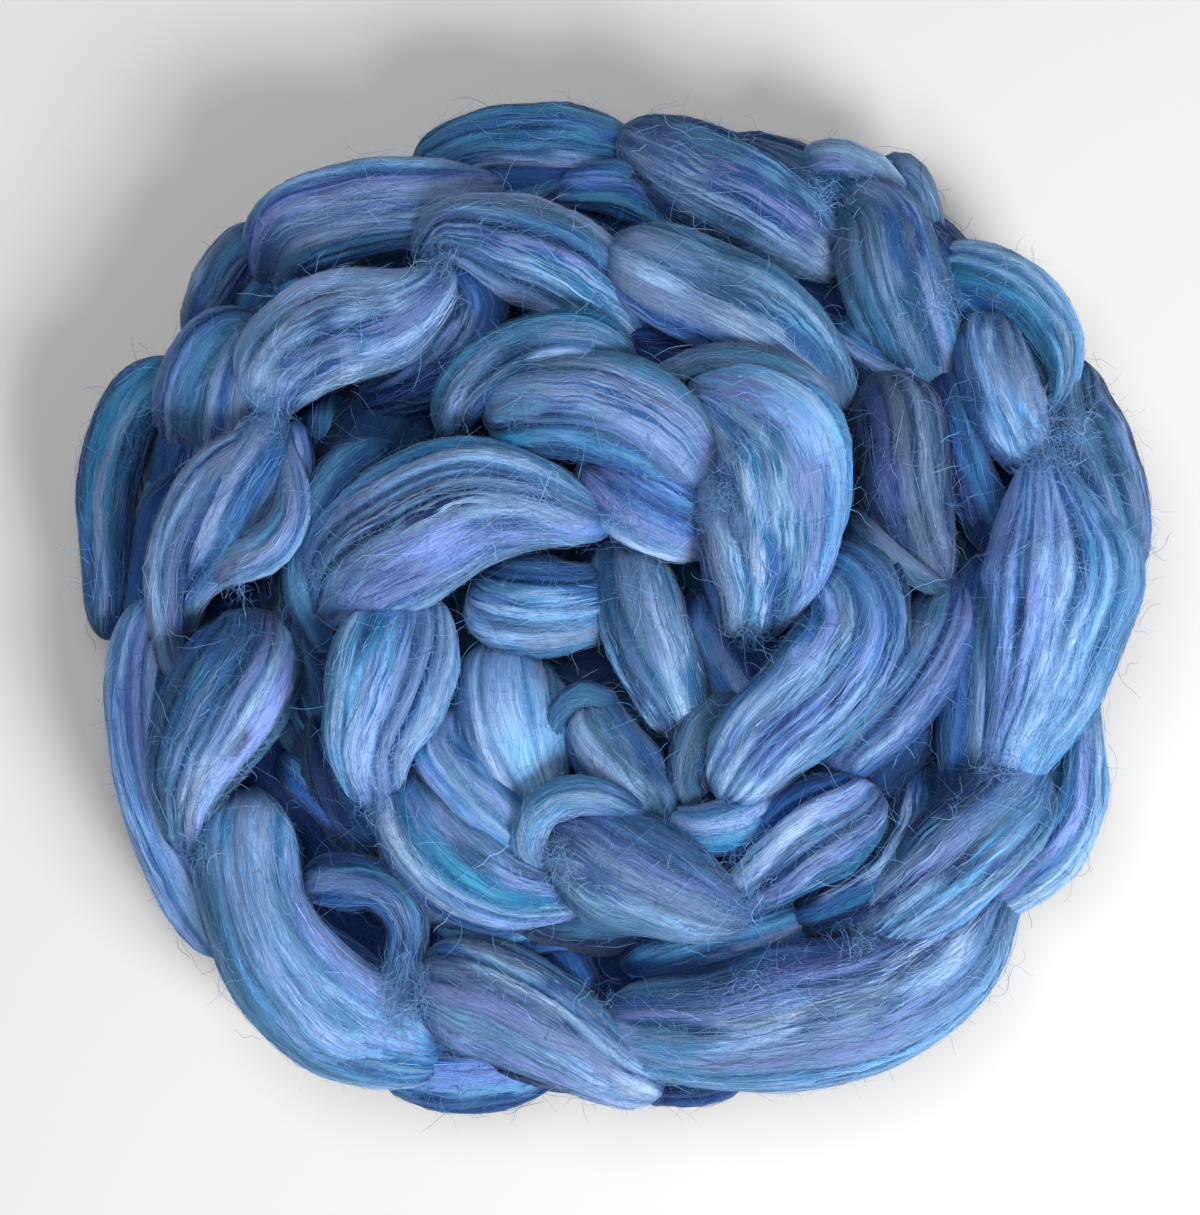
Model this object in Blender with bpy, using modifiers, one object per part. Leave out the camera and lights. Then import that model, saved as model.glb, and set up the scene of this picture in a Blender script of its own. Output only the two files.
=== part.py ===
"""A braid of combed wool top, coiled into a round nest that lies on a table.

The roving is chained by hand into a plump braid, and the braid is wound round itself: a wide outer coil on the
table, a middle coil inside it, a top coil on that, and a curled end in the middle. Each bulge of the chain is a
lock: a spindle of parallel fibres that swells in its middle and narrows where it dips under its neighbours.
All the locks are one strand of wool, so the whole nest is one solid, resting on the flat of its underside.
"""

import math

import bmesh
import bpy
import numpy as np

MM = 0.001

# The plan is a sheet of small square steps, drawn as the nest is seen from straight above. A step is worth
# PLAN_STEP at PLAN_LEVEL, and a little less higher up, where the wool is nearer to the eye.
PLAN_STEP = 0.25 * MM
PLAN_LEVEL = 38 * MM
EYE_ABOVE_LEVEL = 750 * MM
EYE_OVER = (600.0, 607.5)
# The middle of the finished nest, from the point under the eye.
NEST_MIDDLE = (2.75 * MM, -0.93 * MM)

# A lock's section is an ellipse a little flatter than it is wide, with full shoulders.
LOCK_PLUMPNESS = 0.80
LOCK_THICKEST = 30 * MM
SHOULDER_POWER = 0.92
# Rings along a lock and sides round it, for locks up to each width in plan steps.
LOCK_DETAIL = ((40, 8, 7), (70, 10, 9), (400, 12, 12))
# Share by which the rings crowd towards the ends, where the lock turns down.
END_CROWDING = 0.75
CURVE_STEPS = 24
SLIMMEST_NOSE = 1 * MM

# Under the locks that show, the braid's other turns: rings of slanted locks and a low bed between them.
# Half the nest's reach in plan steps, at each hour of a clock face drawn on the plan, from twelve.
CLOCK_CENTRE = (616, 608)
CLOCK_REACH = (493, 529, 540, 520, 515, 528, 502, 545, 535, 528, 515, 526)
HIDDEN_RINGS = (
    # locks, share of the reach, width in plan steps, crest in mm
    (20, 0.87, 112, 27),
    (15, 0.58, 130, 34),
)
HIDDEN_LOCK_OVERLAP = 1.9
# A hidden lock climbs by this much in mm, and moves out by this share of the reach, from its middle to its end.
HIDDEN_LOCK_CLIMB = 9
HIDDEN_LOCK_SLANT = 0.03
HIDDEN_PLUMPNESS = 1.0
# The bed's section, as (height in mm, share of the reach), from under its flat up to its top.
BED_PROFILE = ((-6, 0), (-6, 0.80), (12, 0.84), (21, 0.78), (26, 0.60), (28, 0))
BED_SIDES = 36

WOOL_BLUE = (0.10, 0.20, 0.42, 1)
WOOL_ROUGHNESS = 0.6
WOOL_SHEEN = 0.4

# The locks are run together on a grid this fine, and the skin is then drawn with fewer triangles.
SKIN_GRAIN = 1.5 * MM
TRIANGLES_KEPT = 11000
FLOOR_DEPTH = 60 * MM

# Each row is a lock: its name, then the stations along it. A station's columns are the plan's x and y and the
# lock's width, in plan steps, and the height of its crest in mm.
OUTER_COIL = (
    ("left", (178, 358, 50, 26), (128, 410, 64, 33), (106, 480, 62, 34), (104, 560, 54, 32),
     (106, 640, 40, 20)),
    ("left_wisp", (172, 450, 30, 20), (160, 490, 34, 25), (142, 535, 30, 18)),
    ("upper_left", (262, 318, 56, 32), (215, 348, 82, 40), (187, 395, 76, 40), (186, 455, 60, 22)),
    ("upper_left_tuck", (258, 222, 40, 28), (226, 260, 46, 33), (204, 302, 48, 33), (196, 350, 42, 24)),
    ("top_left", (262, 285, 50, 28), (285, 232, 90, 42), (350, 207, 100, 46), (430, 198, 86, 44),
     (480, 190, 50, 34), (520, 186, 20, 20)),
    ("top", (412, 168, 36, 24), (470, 138, 56, 34), (545, 130, 66, 36), (602, 140, 56, 34),
     (642, 158, 30, 24)),
    ("top_tuck", (552, 192, 20, 24), (582, 186, 44, 36), (622, 186, 58, 39), (660, 204, 56, 36),
     (697, 234, 40, 24)),
    ("top_right", (615, 132, 46, 30), (655, 150, 88, 40), (705, 172, 106, 45), (765, 200, 110, 46),
     (815, 235, 84, 38), (848, 272, 45, 24)),
    ("top_right_band", (800, 165, 40, 26), (835, 156, 40, 33), (875, 170, 36, 33), (905, 205, 28, 26)),
    ("top_right_tuck", (878, 165, 36, 22), (906, 172, 38, 27), (926, 207, 34, 26), (934, 260, 30, 22)),
    ("upper_right", (845, 190, 50, 30), (880, 215, 92, 41), (895, 265, 110, 46), (914, 318, 102, 42),
     (932, 368, 80, 31), (944, 404, 46, 20)),
    ("upper_right_tuck", (832, 318, 46, 30), (860, 345, 60, 35), (905, 366, 60, 35), (948, 400, 42, 26)),
    ("right_hook", (925, 270, 50, 26), (975, 267, 60, 34), (1030, 291, 62, 36), (1060, 335, 52, 36),
     (1066, 370, 38, 36), (1058, 398, 20, 37), (1046, 420, 6, 36)),
    ("right_inner", (985, 305, 60, 30), (998, 365, 76, 42), (1017, 420, 72, 44), (1042, 478, 36, 34)),
    ("right_dark", (942, 360, 40, 30), (958, 430, 50, 38), (980, 500, 52, 38), (1005, 555, 40, 28)),
    ("right_fuzz", (1078, 356, 40, 28), (1082, 408, 70, 38), (1106, 460, 84, 43), (1124, 520, 62, 44),
     (1130, 580, 34, 34)),
    ("right_fan", (1042, 448, 22, 36), (1048, 476, 66, 44), (1061, 520, 134, 50), (1071, 572, 167, 53),
     (1064, 634, 147, 54), (1046, 700, 112, 50), (1022, 752, 76, 42), (1010, 795, 40, 26)),
    ("right_fan_edge", (988, 552, 36, 32), (976, 620, 50, 41), (968, 700, 55, 42), (966, 765, 50, 36),
     (975, 815, 36, 22)),
    ("right_low", (1085, 680, 34, 26), (1086, 740, 40, 32), (1086, 795, 48, 34), (1064, 845, 56, 36),
     (1020, 886, 56, 30), (975, 912, 36, 22)),
    ("lower_right", (1040, 765, 60, 30), (1010, 812, 104, 46), (962, 860, 112, 49), (905, 908, 92, 45),
     (848, 948, 42, 28)),
    ("bottom_right", (598, 1018, 44, 32), (645, 1030, 95, 42), (720, 1036, 122, 46), (800, 1023, 148, 48),
     (882, 1006, 142, 48), (952, 966, 112, 42), (994, 908, 62, 28), (1010, 868, 36, 20)),
    ("bottom_right_tuck", (620, 1074, 44, 26), (685, 1076, 74, 30), (760, 1058, 60, 26)),
    ("bottom_left", (415, 982, 56, 32), (455, 993, 112, 43), (505, 1013, 122, 46), (565, 1043, 102, 46),
     (620, 1077, 68, 42), (662, 1092, 36, 28)),
    ("bottom_tuck", (372, 1058, 46, 22), (425, 1073, 84, 30), (490, 1074, 88, 31), (570, 1060, 56, 27)),
    ("lower_left", (252, 788, 60, 32), (242, 838, 98, 43), (251, 900, 98, 47), (281, 965, 108, 49),
     (350, 1031, 116, 44), (442, 1055, 50, 30)),
    ("lower_left_fold", (200, 852, 30, 30), (222, 920, 44, 40), (262, 990, 62, 43), (330, 1045, 70, 43),
     (398, 1066, 52, 38), (446, 1066, 26, 26)),
    ("lower_left_rim", (160, 590, 46, 28), (133, 660, 58, 34), (131, 750, 50, 34), (152, 830, 52, 32),
     (190, 910, 52, 28), (225, 958, 36, 20)),
    ("lower_left_tuck", (275, 755, 56, 26), (318, 785, 62, 31), (362, 828, 60, 31), (400, 868, 46, 26)),
    ("loose_end", (296, 886, 44, 32), (338, 882, 56, 38), (380, 889, 54, 40), (405, 920, 46, 39),
     (404, 958, 42, 37), (400, 995, 48, 35), (396, 1028, 50, 32)),
    ("loose_end_back", (425, 955, 30, 28), (428, 990, 40, 31), (420, 1025, 40, 28)),
)
MIDDLE_COIL = (
    ("left", (280, 418, 46, 38), (254, 462, 84, 53), (225, 508, 104, 55), (207, 548, 90, 51),
     (186, 590, 44, 42), (178, 640, 30, 28)),
    ("left_curl", (276, 430, 18, 44), (291, 476, 28, 53), (288, 518, 40, 57), (264, 548, 48, 58),
     (232, 563, 40, 52), (206, 580, 24, 42)),
    ("left_strand", (262, 430, 22, 46), (210, 470, 46, 55), (175, 525, 46, 56), (162, 585, 40, 50),
     (169, 648, 32, 38), (182, 690, 20, 30)),
    ("left_edge", (294, 420, 24, 40), (300, 465, 30, 46), (290, 520, 28, 44), (285, 560, 20, 34)),
    ("upper_left", (262, 418, 46, 38), (275, 365, 100, 52), (325, 326, 116, 58), (388, 312, 108, 60),
     (425, 290, 66, 57), (447, 264, 22, 46)),
    ("upper_left_edge", (258, 322, 40, 40), (230, 375, 52, 45), (222, 425, 50, 40), (226, 465, 34, 26)),
    ("upper_left_wrap", (454, 262, 26, 50), (478, 305, 62, 53), (452, 354, 64, 51), (404, 386, 50, 44),
     (352, 404, 34, 34)),
    ("pocket_back", (335, 380, 46, 28), (335, 420, 70, 33), (330, 465, 56, 26)),
    ("top", (415, 262, 28, 42), (448, 228, 66, 52), (505, 240, 104, 57), (565, 262, 108, 58),
     (612, 296, 86, 50), (655, 338, 46, 34)),
    ("top_tuck", (505, 312, 36, 36), (570, 332, 46, 42), (650, 345, 50, 43), (725, 345, 40, 38)),
    ("top_right", (604, 244, 56, 50), (648, 262, 92, 59), (705, 286, 106, 60), (765, 315, 100, 59),
     (815, 360, 76, 54), (845, 412, 40, 38)),
    ("right", (880, 372, 50, 36), (900, 420, 94, 50), (906, 480, 98, 52), (922, 540, 74, 47),
     (944, 590, 38, 34)),
    ("right_band", (848, 508, 20, 44), (882, 545, 26, 50), (918, 575, 26, 49), (948, 592, 12, 40)),
    ("lower_right", (955, 572, 44, 34), (942, 630, 76, 46), (908, 690, 88, 51), (862, 735, 82, 48),
     (818, 782, 44, 34)),
    ("bottom_right", (878, 792, 48, 38), (853, 816, 86, 50), (812, 840, 104, 55), (770, 870, 80, 51),
     (732, 896, 46, 36)),
    ("bottom_right_tuck", (925, 758, 46, 28), (922, 815, 60, 39), (895, 872, 66, 42), (842, 904, 60, 40),
     (788, 920, 38, 28)),
    ("bottom_right_fold", (662, 822, 40, 38), (705, 832, 52, 49), (750, 820, 52, 50), (800, 785, 40, 38)),
    ("bottom", (548, 845, 56, 42), (572, 843, 102, 54), (620, 869, 128, 60), (680, 896, 106, 58),
     (722, 913, 60, 47), (748, 920, 26, 32)),
    ("bottom_band", (546, 878, 22, 42), (528, 842, 36, 53), (546, 808, 42, 58), (592, 796, 38, 60),
     (645, 815, 22, 54)),
    ("bottom_dark", (620, 968, 40, 28), (690, 950, 50, 34), (760, 935, 50, 35), (825, 912, 40, 28)),
    ("bottom_deep", (540, 940, 46, 26), (575, 975, 46, 29), (588, 1018, 36, 24)),
    ("bottom_left_tuck", (418, 925, 46, 28), (480, 938, 58, 33), (560, 925, 60, 33), (615, 930, 46, 28)),
    ("bottom_left", (396, 765, 40, 40), (407, 820, 80, 52), (446, 866, 98, 57), (500, 897, 84, 57),
     (545, 902, 56, 48), (580, 898, 34, 34)),
    ("bottom_left_fold", (440, 695, 40, 42), (436, 748, 60, 51), (475, 795, 66, 53), (525, 840, 52, 49),
     (555, 878, 36, 36)),
    ("lower_left", (258, 614, 56, 30), (245, 655, 108, 46), (216, 706, 128, 54), (190, 762, 102, 52),
     (182, 812, 58, 42), (189, 855, 34, 30)),
)
TOP_COIL = (
    ("left", (325, 628, 56, 44), (347, 572, 120, 58), (400, 532, 148, 67), (465, 500, 140, 69),
     (530, 501, 98, 65), (578, 516, 60, 58), (612, 526, 24, 48)),
    ("left_edge", (392, 442, 30, 52), (345, 468, 44, 54), (312, 520, 46, 53), (304, 590, 44, 50),
     (330, 655, 30, 36)),
    ("top_arc", (442, 436, 36, 46), (466, 385, 58, 58), (520, 348, 64, 63), (580, 340, 66, 63),
     (636, 362, 44, 52)),
    ("top", (484, 412, 60, 50), (530, 402, 100, 63), (600, 404, 112, 69), (660, 430, 106, 67),
     (702, 478, 64, 56), (722, 520, 20, 44)),
    ("top_fold", (580, 458, 46, 48), (620, 488, 80, 58), (665, 515, 88, 61), (708, 532, 60, 54),
     (745, 545, 34, 40)),
    ("right_band", (652, 388, 24, 44), (690, 364, 30, 55), (740, 358, 34, 61), (800, 378, 34, 62),
     (838, 418, 24, 54)),
    ("right", (690, 380, 30, 50), (730, 390, 72, 62), (778, 432, 132, 71), (788, 495, 130, 71),
     (781, 552, 116, 67), (766, 602, 72, 58), (753, 640, 22, 43)),
    ("right_lobe", (712, 458, 24, 54), (722, 505, 56, 62), (736, 555, 68, 65), (740, 600, 58, 60),
     (734, 636, 22, 44)),
    ("lower_right", (800, 560, 50, 46), (845, 580, 84, 57), (858, 630, 104, 62), (822, 690, 112, 65),
     (766, 742, 96, 64), (722, 804, 56, 48)),
    ("lower_right_edge", (842, 532, 36, 44), (876, 568, 48, 53), (892, 620, 44, 54), (886, 672, 36, 48)),
    ("lower_right_fold", (748, 698, 46, 44), (708, 730, 60, 52), (690, 772, 46, 50), (704, 812, 26, 36)),
    ("lower_right_tuck", (700, 588, 50, 36), (708, 640, 72, 44), (735, 690, 70, 44), (768, 735, 40, 30)),
    ("lower_left", (405, 588, 66, 44), (394, 645, 130, 60), (379, 700, 126, 64), (366, 750, 92, 60),
     (378, 805, 44, 42)),
    ("bottom", (505, 638, 76, 38), (505, 690, 114, 50), (514, 735, 118, 55), (528, 775, 84, 51),
     (542, 808, 42, 38)),
    ("bottom_right", (585, 690, 46, 40), (594, 726, 74, 52), (622, 765, 78, 53), (650, 806, 58, 45),
     (672, 852, 36, 32)),
    ("bottom_right_band", (562, 768, 16, 44), (553, 722, 22, 53), (580, 694, 26, 55), (618, 702, 20, 50)),
    ("heart_right", (620, 530, 50, 40), (632, 588, 86, 54), (650, 640, 92, 58), (675, 695, 72, 53),
     (698, 742, 38, 38)),
    ("heart", (474, 590, 60, 40), (500, 602, 96, 52), (550, 606, 102, 57), (590, 600, 78, 51),
     (612, 590, 46, 38)),
)


def clear_scene():
    for obj in list(bpy.data.objects):
        bpy.data.objects.remove(obj, do_unlink=True)


def step_at(height):
    """The size of a plan step at this height."""
    return PLAN_STEP * (EYE_ABOVE_LEVEL + PLAN_LEVEL - height) / EYE_ABOVE_LEVEL


def station_in_metres(station):
    """(x, y, crest height, width) in metres, from the middle of the nest."""
    x, y, width, crest = station
    height = crest * MM
    step = step_at(height)
    across = (x - EYE_OVER[0]) * step - NEST_MIDDLE[0]
    up = (EYE_OVER[1] - y) * step - NEST_MIDDLE[1]
    return across, up, height, width * step


def curve_through(stations):
    """A smooth curve through the stations, with the length run at each of its points."""
    stations = np.array(stations)
    ends = [2 * stations[0] - stations[1], *stations, 2 * stations[-1] - stations[-2]]
    share = np.linspace(0, 1, CURVE_STEPS, endpoint=False)[:, None]
    points = []
    for before, start, end, after in zip(ends, ends[1:], ends[2:], ends[3:]):
        span = np.linalg.norm((end - start)[:2])
        leave = (end - before) * span / (np.linalg.norm((start - before)[:2]) + span)
        arrive = (after - start) * span / (np.linalg.norm((after - end)[:2]) + span)
        points.append(
            (2 * share**3 - 3 * share**2 + 1) * start
            + (share**3 - 2 * share**2 + share) * leave
            + (3 * share**2 - 2 * share**3) * end
            + (share**3 - share**2) * arrive
        )
    points = np.vstack([*points, stations[-1:]])
    run = np.concatenate([[0], np.cumsum(np.linalg.norm(np.diff(points[:, :3], axis=0), axis=1))])
    return points, run


def nose(distance, width):
    """The share of its width that a lock has at this distance from its rounded end."""
    reach = max(width / 2, SLIMMEST_NOSE)
    return np.sqrt(1 - (1 - np.clip(distance / reach, 0, 1)) ** 2)


def lock_rings(stations, rings, sides, plumpness):
    """The rings of points round a lock, its first and last ring drawn in to a point."""
    points, run = curve_through([station_in_metres(station) for station in stations])
    share = np.linspace(0, 1, rings)
    at = run[-1] * (share - END_CROWDING * np.sin(math.tau * share) / math.tau)
    x, y, crest, full_width = (np.interp(at, run, points[:, column]) for column in range(4))
    width = full_width * nose(at, full_width[0]) * nose(run[-1] - at, full_width[-1])
    thick = np.minimum(plumpness * width, LOCK_THICKEST)
    middle = np.stack([x, y, crest - np.minimum(plumpness * full_width, LOCK_THICKEST) / 2], axis=1)
    along = np.gradient(middle, axis=0)
    along /= np.linalg.norm(along, axis=1)[:, None]
    side = np.cross(along, (0, 0, 1))
    side /= np.linalg.norm(side, axis=1)[:, None]
    rise = np.cross(side, along)
    turn = np.linspace(0, math.tau, sides, endpoint=False)
    out = np.sign(np.cos(turn)) * np.abs(np.cos(turn)) ** SHOULDER_POWER
    up = np.sign(np.sin(turn)) * np.abs(np.sin(turn)) ** SHOULDER_POWER
    return (
        middle[:, None]
        + side[:, None] * (out[None, :] * width[:, None] / 2)[..., None]
        + rise[:, None] * (up[None, :] * thick[:, None] / 2)[..., None]
    )


def skinned(name, rings, collection):
    """An object whose skin runs along the rings, closed by a point at each end."""
    mesh = bmesh.new()
    tips = [mesh.verts.new(rings[end].mean(axis=0)) for end in (0, -1)]
    loops = [[mesh.verts.new(point) for point in ring] for ring in rings[1:-1]]
    for lower, upper in zip(loops, loops[1:]):
        for a, b, c, d in zip(lower, lower[1:] + lower[:1], upper[1:] + upper[:1], upper):
            mesh.faces.new((a, b, c, d))
    for tip, loop in zip(tips, (loops[0], loops[-1])):
        for a, b in zip(loop, loop[1:] + loop[:1]):
            mesh.faces.new((tip, a, b))
    bmesh.ops.recalc_face_normals(mesh, faces=mesh.faces)
    return placed(name, mesh, collection)


def placed(name, mesh, collection):
    data = bpy.data.meshes.new(name)
    mesh.to_mesh(data)
    mesh.free()
    obj = bpy.data.objects.new(name, data)
    collection.objects.link(obj)
    return obj


def add_lock(name, stations, collection, plumpness=LOCK_PLUMPNESS):
    widest = max(width for x, y, width, crest in stations)
    rings, sides = next((rings, sides) for limit, rings, sides in LOCK_DETAIL if widest <= limit)
    skinned(name, lock_rings(stations, rings, sides, plumpness), collection)


def reach_at(clock):
    """The nest's reach at this hour of the clock face, where 12 is one full turn."""
    hour = math.floor(clock)
    ease = (1 - math.cos(math.pi * (clock - hour))) / 2
    return CLOCK_REACH[hour % 12] * (1 - ease) + CLOCK_REACH[(hour + 1) % 12] * ease


def on_clock(clock, share):
    """The plan point at this hour, and this share of the nest's reach."""
    angle = math.tau * clock / 12
    reach = reach_at(clock) * share
    return CLOCK_CENTRE[0] + reach * math.sin(angle), CLOCK_CENTRE[1] - reach * math.cos(angle)


def add_hidden_ring(index, count, share, width, crest, collection):
    """A ring of fat locks, each climbing from low inside the ring to high outside it."""
    half = 12 / count * HIDDEN_LOCK_OVERLAP / 2
    for number in range(count):
        clock = 12 * (number + 0.5 * index) / count
        stations = [
            (*on_clock(clock - half, share - HIDDEN_LOCK_SLANT), width * 0.5, crest - HIDDEN_LOCK_CLIMB),
            (*on_clock(clock, share), width, crest),
            (*on_clock(clock + half, share + HIDDEN_LOCK_SLANT), width * 0.5, crest + HIDDEN_LOCK_CLIMB),
        ]
        add_lock(f"hidden_{index}_{number:02d}", stations, collection, HIDDEN_PLUMPNESS)


def make_bed(collection):
    """The low heap of inner turns that the locks lie on, with the nest's own outline."""
    rings = []
    for height, spread in BED_PROFILE:
        ring = []
        for number in range(BED_SIDES):
            across, up, _, _ = station_in_metres((*on_clock(12 * number / BED_SIDES, spread), 0, height))
            ring.append((across, up, height * MM))
        rings.append(ring)
    return skinned("bed", np.array(rings), collection)


def merged(parts, collection):
    """All the parts in one skin, with no hollows left inside it."""
    heap = bmesh.new()
    for part in parts:
        heap.from_mesh(part.data)
    heap = placed("heap", heap, collection)
    skin = heap.modifiers.new("one skin", "REMESH")
    skin.mode = "VOXEL"
    skin.voxel_size = SKIN_GRAIN
    bpy.context.view_layer.update()
    whole = heap.evaluated_get(bpy.context.evaluated_depsgraph_get())
    mesh = bmesh.new()
    mesh.from_mesh(whole.data)
    shells = sorted(shells_of(mesh), key=len)
    hollows = [face for shell in shells[:-1] for face in shell]
    bmesh.ops.delete(mesh, geom=hollows, context="FACES")
    bmesh.ops.triangulate(mesh, faces=mesh.faces)
    bpy.data.objects.remove(heap)
    return mesh


def shells_of(mesh):
    """The mesh's faces, as one set for each skin that hangs together."""
    left = set(mesh.faces)
    shells = []
    while left:
        shell = set()
        edge_of_search = [left.pop()]
        while edge_of_search:
            face = edge_of_search.pop()
            shell.add(face)
            near = {other for edge in face.edges for other in edge.link_faces} & left
            left -= near
            edge_of_search.extend(near)
        shells.append(shell)
    return shells


def combed_wool():
    """Dyed wool with a soft shine: blue, matt to satin."""
    material = bpy.data.materials.new("combed_wool")
    material.use_nodes = True
    shader = material.node_tree.nodes["Principled BSDF"]
    shader.inputs["Base Color"].default_value = WOOL_BLUE
    shader.inputs["Roughness"].default_value = WOOL_ROUGHNESS
    shader.inputs["Metallic"].default_value = 0
    shader.inputs["Sheen Weight"].default_value = WOOL_SHEEN
    return material


def make_nest():
    braid = bpy.data.collections.new("braid_of_roving")
    helpers = bpy.data.collections.new("helpers")
    locks = bpy.data.collections.new("locks")
    bpy.context.scene.collection.children.link(braid)
    bpy.context.scene.collection.children.link(helpers)
    helpers.children.link(locks)

    for coil, rows in (("outer", OUTER_COIL), ("middle", MIDDLE_COIL), ("top", TOP_COIL)):
        for name, *stations in rows:
            add_lock(f"{coil}_{name}", stations, locks)
    for index, (count, share, width, crest) in enumerate(HIDDEN_RINGS):
        add_hidden_ring(index, count, share, width, crest, locks)

    make_bed(locks)
    strand = merged(locks.objects, helpers)
    slimming = TRIANGLES_KEPT / len(strand.faces)
    nest = placed("roving_braid", strand, braid)
    nest.data.materials.append(combed_wool())

    slim = nest.modifiers.new("fewer triangles", "DECIMATE")
    slim.ratio = min(slimming, 1)

    bpy.ops.mesh.primitive_cube_add(size=1, location=(0, 0, -FLOOR_DEPTH / 2))
    floor = bpy.context.object
    floor.name = "floor_cutter"
    floor.scale = (1, 1, FLOOR_DEPTH)
    for collection in floor.users_collection:
        collection.objects.unlink(floor)
    helpers.objects.link(floor)
    flat = nest.modifiers.new("flat where it lies", "BOOLEAN")
    flat.operation = "DIFFERENCE"
    flat.solver = "EXACT"
    flat.object = floor

    for helper in helpers.all_objects:
        helper.hide_render = True
        helper.display_type = "WIRE"


clear_scene()
make_nest()
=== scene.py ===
"""The looks of a braid of combed wool top, coiled into a round nest on a plain pale floor.

Each lock of the braid is a spindle of parallel fibres, with the grooves that part its strands. Thousands of
fine ribbons lie along the locks as the fibres that show, and stray ones stand off them as the fuzz of combed
wool. The places and sizes of the locks are those of the solid model, in the same frame.
"""

import math

import bpy
import numpy as np
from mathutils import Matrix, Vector


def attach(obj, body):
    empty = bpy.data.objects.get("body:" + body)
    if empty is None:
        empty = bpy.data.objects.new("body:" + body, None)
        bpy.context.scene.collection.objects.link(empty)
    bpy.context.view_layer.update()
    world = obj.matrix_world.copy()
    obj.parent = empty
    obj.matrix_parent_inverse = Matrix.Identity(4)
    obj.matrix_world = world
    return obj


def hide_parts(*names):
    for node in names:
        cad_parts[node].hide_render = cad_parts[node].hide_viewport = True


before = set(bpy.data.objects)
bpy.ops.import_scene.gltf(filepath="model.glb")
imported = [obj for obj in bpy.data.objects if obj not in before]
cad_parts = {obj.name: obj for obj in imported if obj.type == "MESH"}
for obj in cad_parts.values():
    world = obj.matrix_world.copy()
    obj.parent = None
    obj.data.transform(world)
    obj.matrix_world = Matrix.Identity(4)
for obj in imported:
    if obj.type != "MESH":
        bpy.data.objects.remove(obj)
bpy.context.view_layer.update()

MM = 0.001

# The plan is a sheet of small square steps, drawn as the nest is seen from straight above. A step is worth
# PLAN_STEP at PLAN_LEVEL, and a little less higher up, where the wool is nearer to the eye.
PLAN_STEP = 0.25 * MM
PLAN_LEVEL = 38 * MM
PLAN_WIDTH = 1200
EYE_ABOVE_LEVEL = 750 * MM
EYE_OVER = (600.0, 607.5)
NEST_MIDDLE = (2.75 * MM, -0.93 * MM)

# A lock's section is an ellipse a little flatter than it is wide, with full shoulders.
LOCK_PLUMPNESS = 0.80
LOCK_THICKEST = 30 * MM
SHOULDER_POWER = 0.92
END_CROWDING = 0.75
CURVE_STEPS = 24
SLIMMEST_NOSE = 1 * MM
NOSE_REACH = 0.95
NOSE_POWER = 0.58
# Each lock draws its own chances, from a seed that the last letters of its name give.
SEED_LETTERS = 9
SEED_STEP = 31

# Under the locks that show, the braid's other turns: rings of slanted locks and a low bed between them.
# Half the nest's reach in plan steps, at each hour of a clock face drawn on the plan, from twelve.
CLOCK_CENTRE = (616, 608)
CLOCK_REACH = (493, 529, 540, 520, 515, 528, 502, 545, 535, 528, 515, 526)
# The hidden turns are painted darker than the locks that show, the inner one most: painted shade under them.
HIDDEN_RINGS = (
    # piece, lightness and painted shade, coarseness, locks, share of the reach, width in plan steps, crest in
    # mm
    ("lower_turn", 0.9, 2.2, 20, 0.87, 112, 27),
    ("inner_turn", 0.55, 2.4, 15, 0.58, 130, 34),
    ("inner_turn", 0.55, 2.4, 7, 0.22, 120, 33),
)
HIDDEN_SEED = 70
HIDDEN_LOCK_OVERLAP = 1.9
# A hidden lock climbs by this much in mm, and moves out by this share of the reach, from its middle to its
# end. Its ends have this share of its width.
HIDDEN_LOCK_CLIMB = 9
HIDDEN_LOCK_SLANT = 0.03
HIDDEN_END_WIDTH = 0.5
HIDDEN_PLUMPNESS = 1.0
HIDDEN_FUR = 0.3
# The bed's section, as (height in mm, share of the reach), from under its flat up to its top.
BED_PROFILE = ((-6, 0), (-6, 0.80), (12, 0.84), (21, 0.78), (26, 0.60), (28, 0))
BED_SIDES = 36
# The bed is painted deep navy: painted shade in the gaps between the locks.
BED_PAINTED_SHADE = 0.9
BED_LIE = (800 * MM, 100 * MM)

# A lock's skin: the gaps between its lines of points, along it, over its top and under it.
ROW_GAP = 2.1 * MM
TOP_GAP = 0.45 * MM
UNDER_GAP = 1.8 * MM
FEWEST_ROWS = 14
FEWEST_OVER = 9
FEWEST_UNDER = 5

# A lock is a bundle of strands that lie side by side and over each other. There is one for each of these
# widths round the skin. A strand has half a width that changes as it runs, a swell off the skin, a level
# above or below the others' and a wander round the lock in radians, and it turns with the others as it runs.
STRAND_EVERY = 2.6 * MM
FEWEST_STRANDS = 7
STRAND_HALF = (1.3 * MM, 4.2 * MM)
STRAND_CHANGE = (0.6, 1.25)
STRAND_SHIFT = 0.4
STRAND_SWELL = (0.25 * MM, 0.85 * MM)
STRAND_LEVEL = 0.28 * MM
STRAND_WANDER = 0.13
STRAND_STAGES = 7
GAP_DEPTH = 0.7 * MM
TWIST = 0.22
# A lock that is less wide than this has lower and finer strands, down to this share.
FULL_STRAND_LOCK = 24 * MM
FINEST_STRANDS = 0.6
# A few partings are deeper: one for each of these widths round the skin, each along a part of the lock.
PARTING_EVERY = 7.5 * MM
PARTING_START = (-0.1, 1.1)
PARTING_WANDER = 0.08
PARTING_MIDDLE = (0.1, 0.9)
PARTING_REACH = (0.18, 0.6)
PARTING_DEPTH = (0.8 * MM, 2.4 * MM)
PARTING_FLANK = (0.35 * MM, 0.70 * MM)
PARTING_FADE = 1.4
PARTING_SHARPNESS = 1.5
# How much shade is painted into a parting or a furrow at its deepest.
PARTING_DARK = 0.66
# Locks whose strands cross slantwise from one side to the other.
TURNED_LOCKS = {"top_right": -1.3, "top_right_lobe": -0.5}
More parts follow.
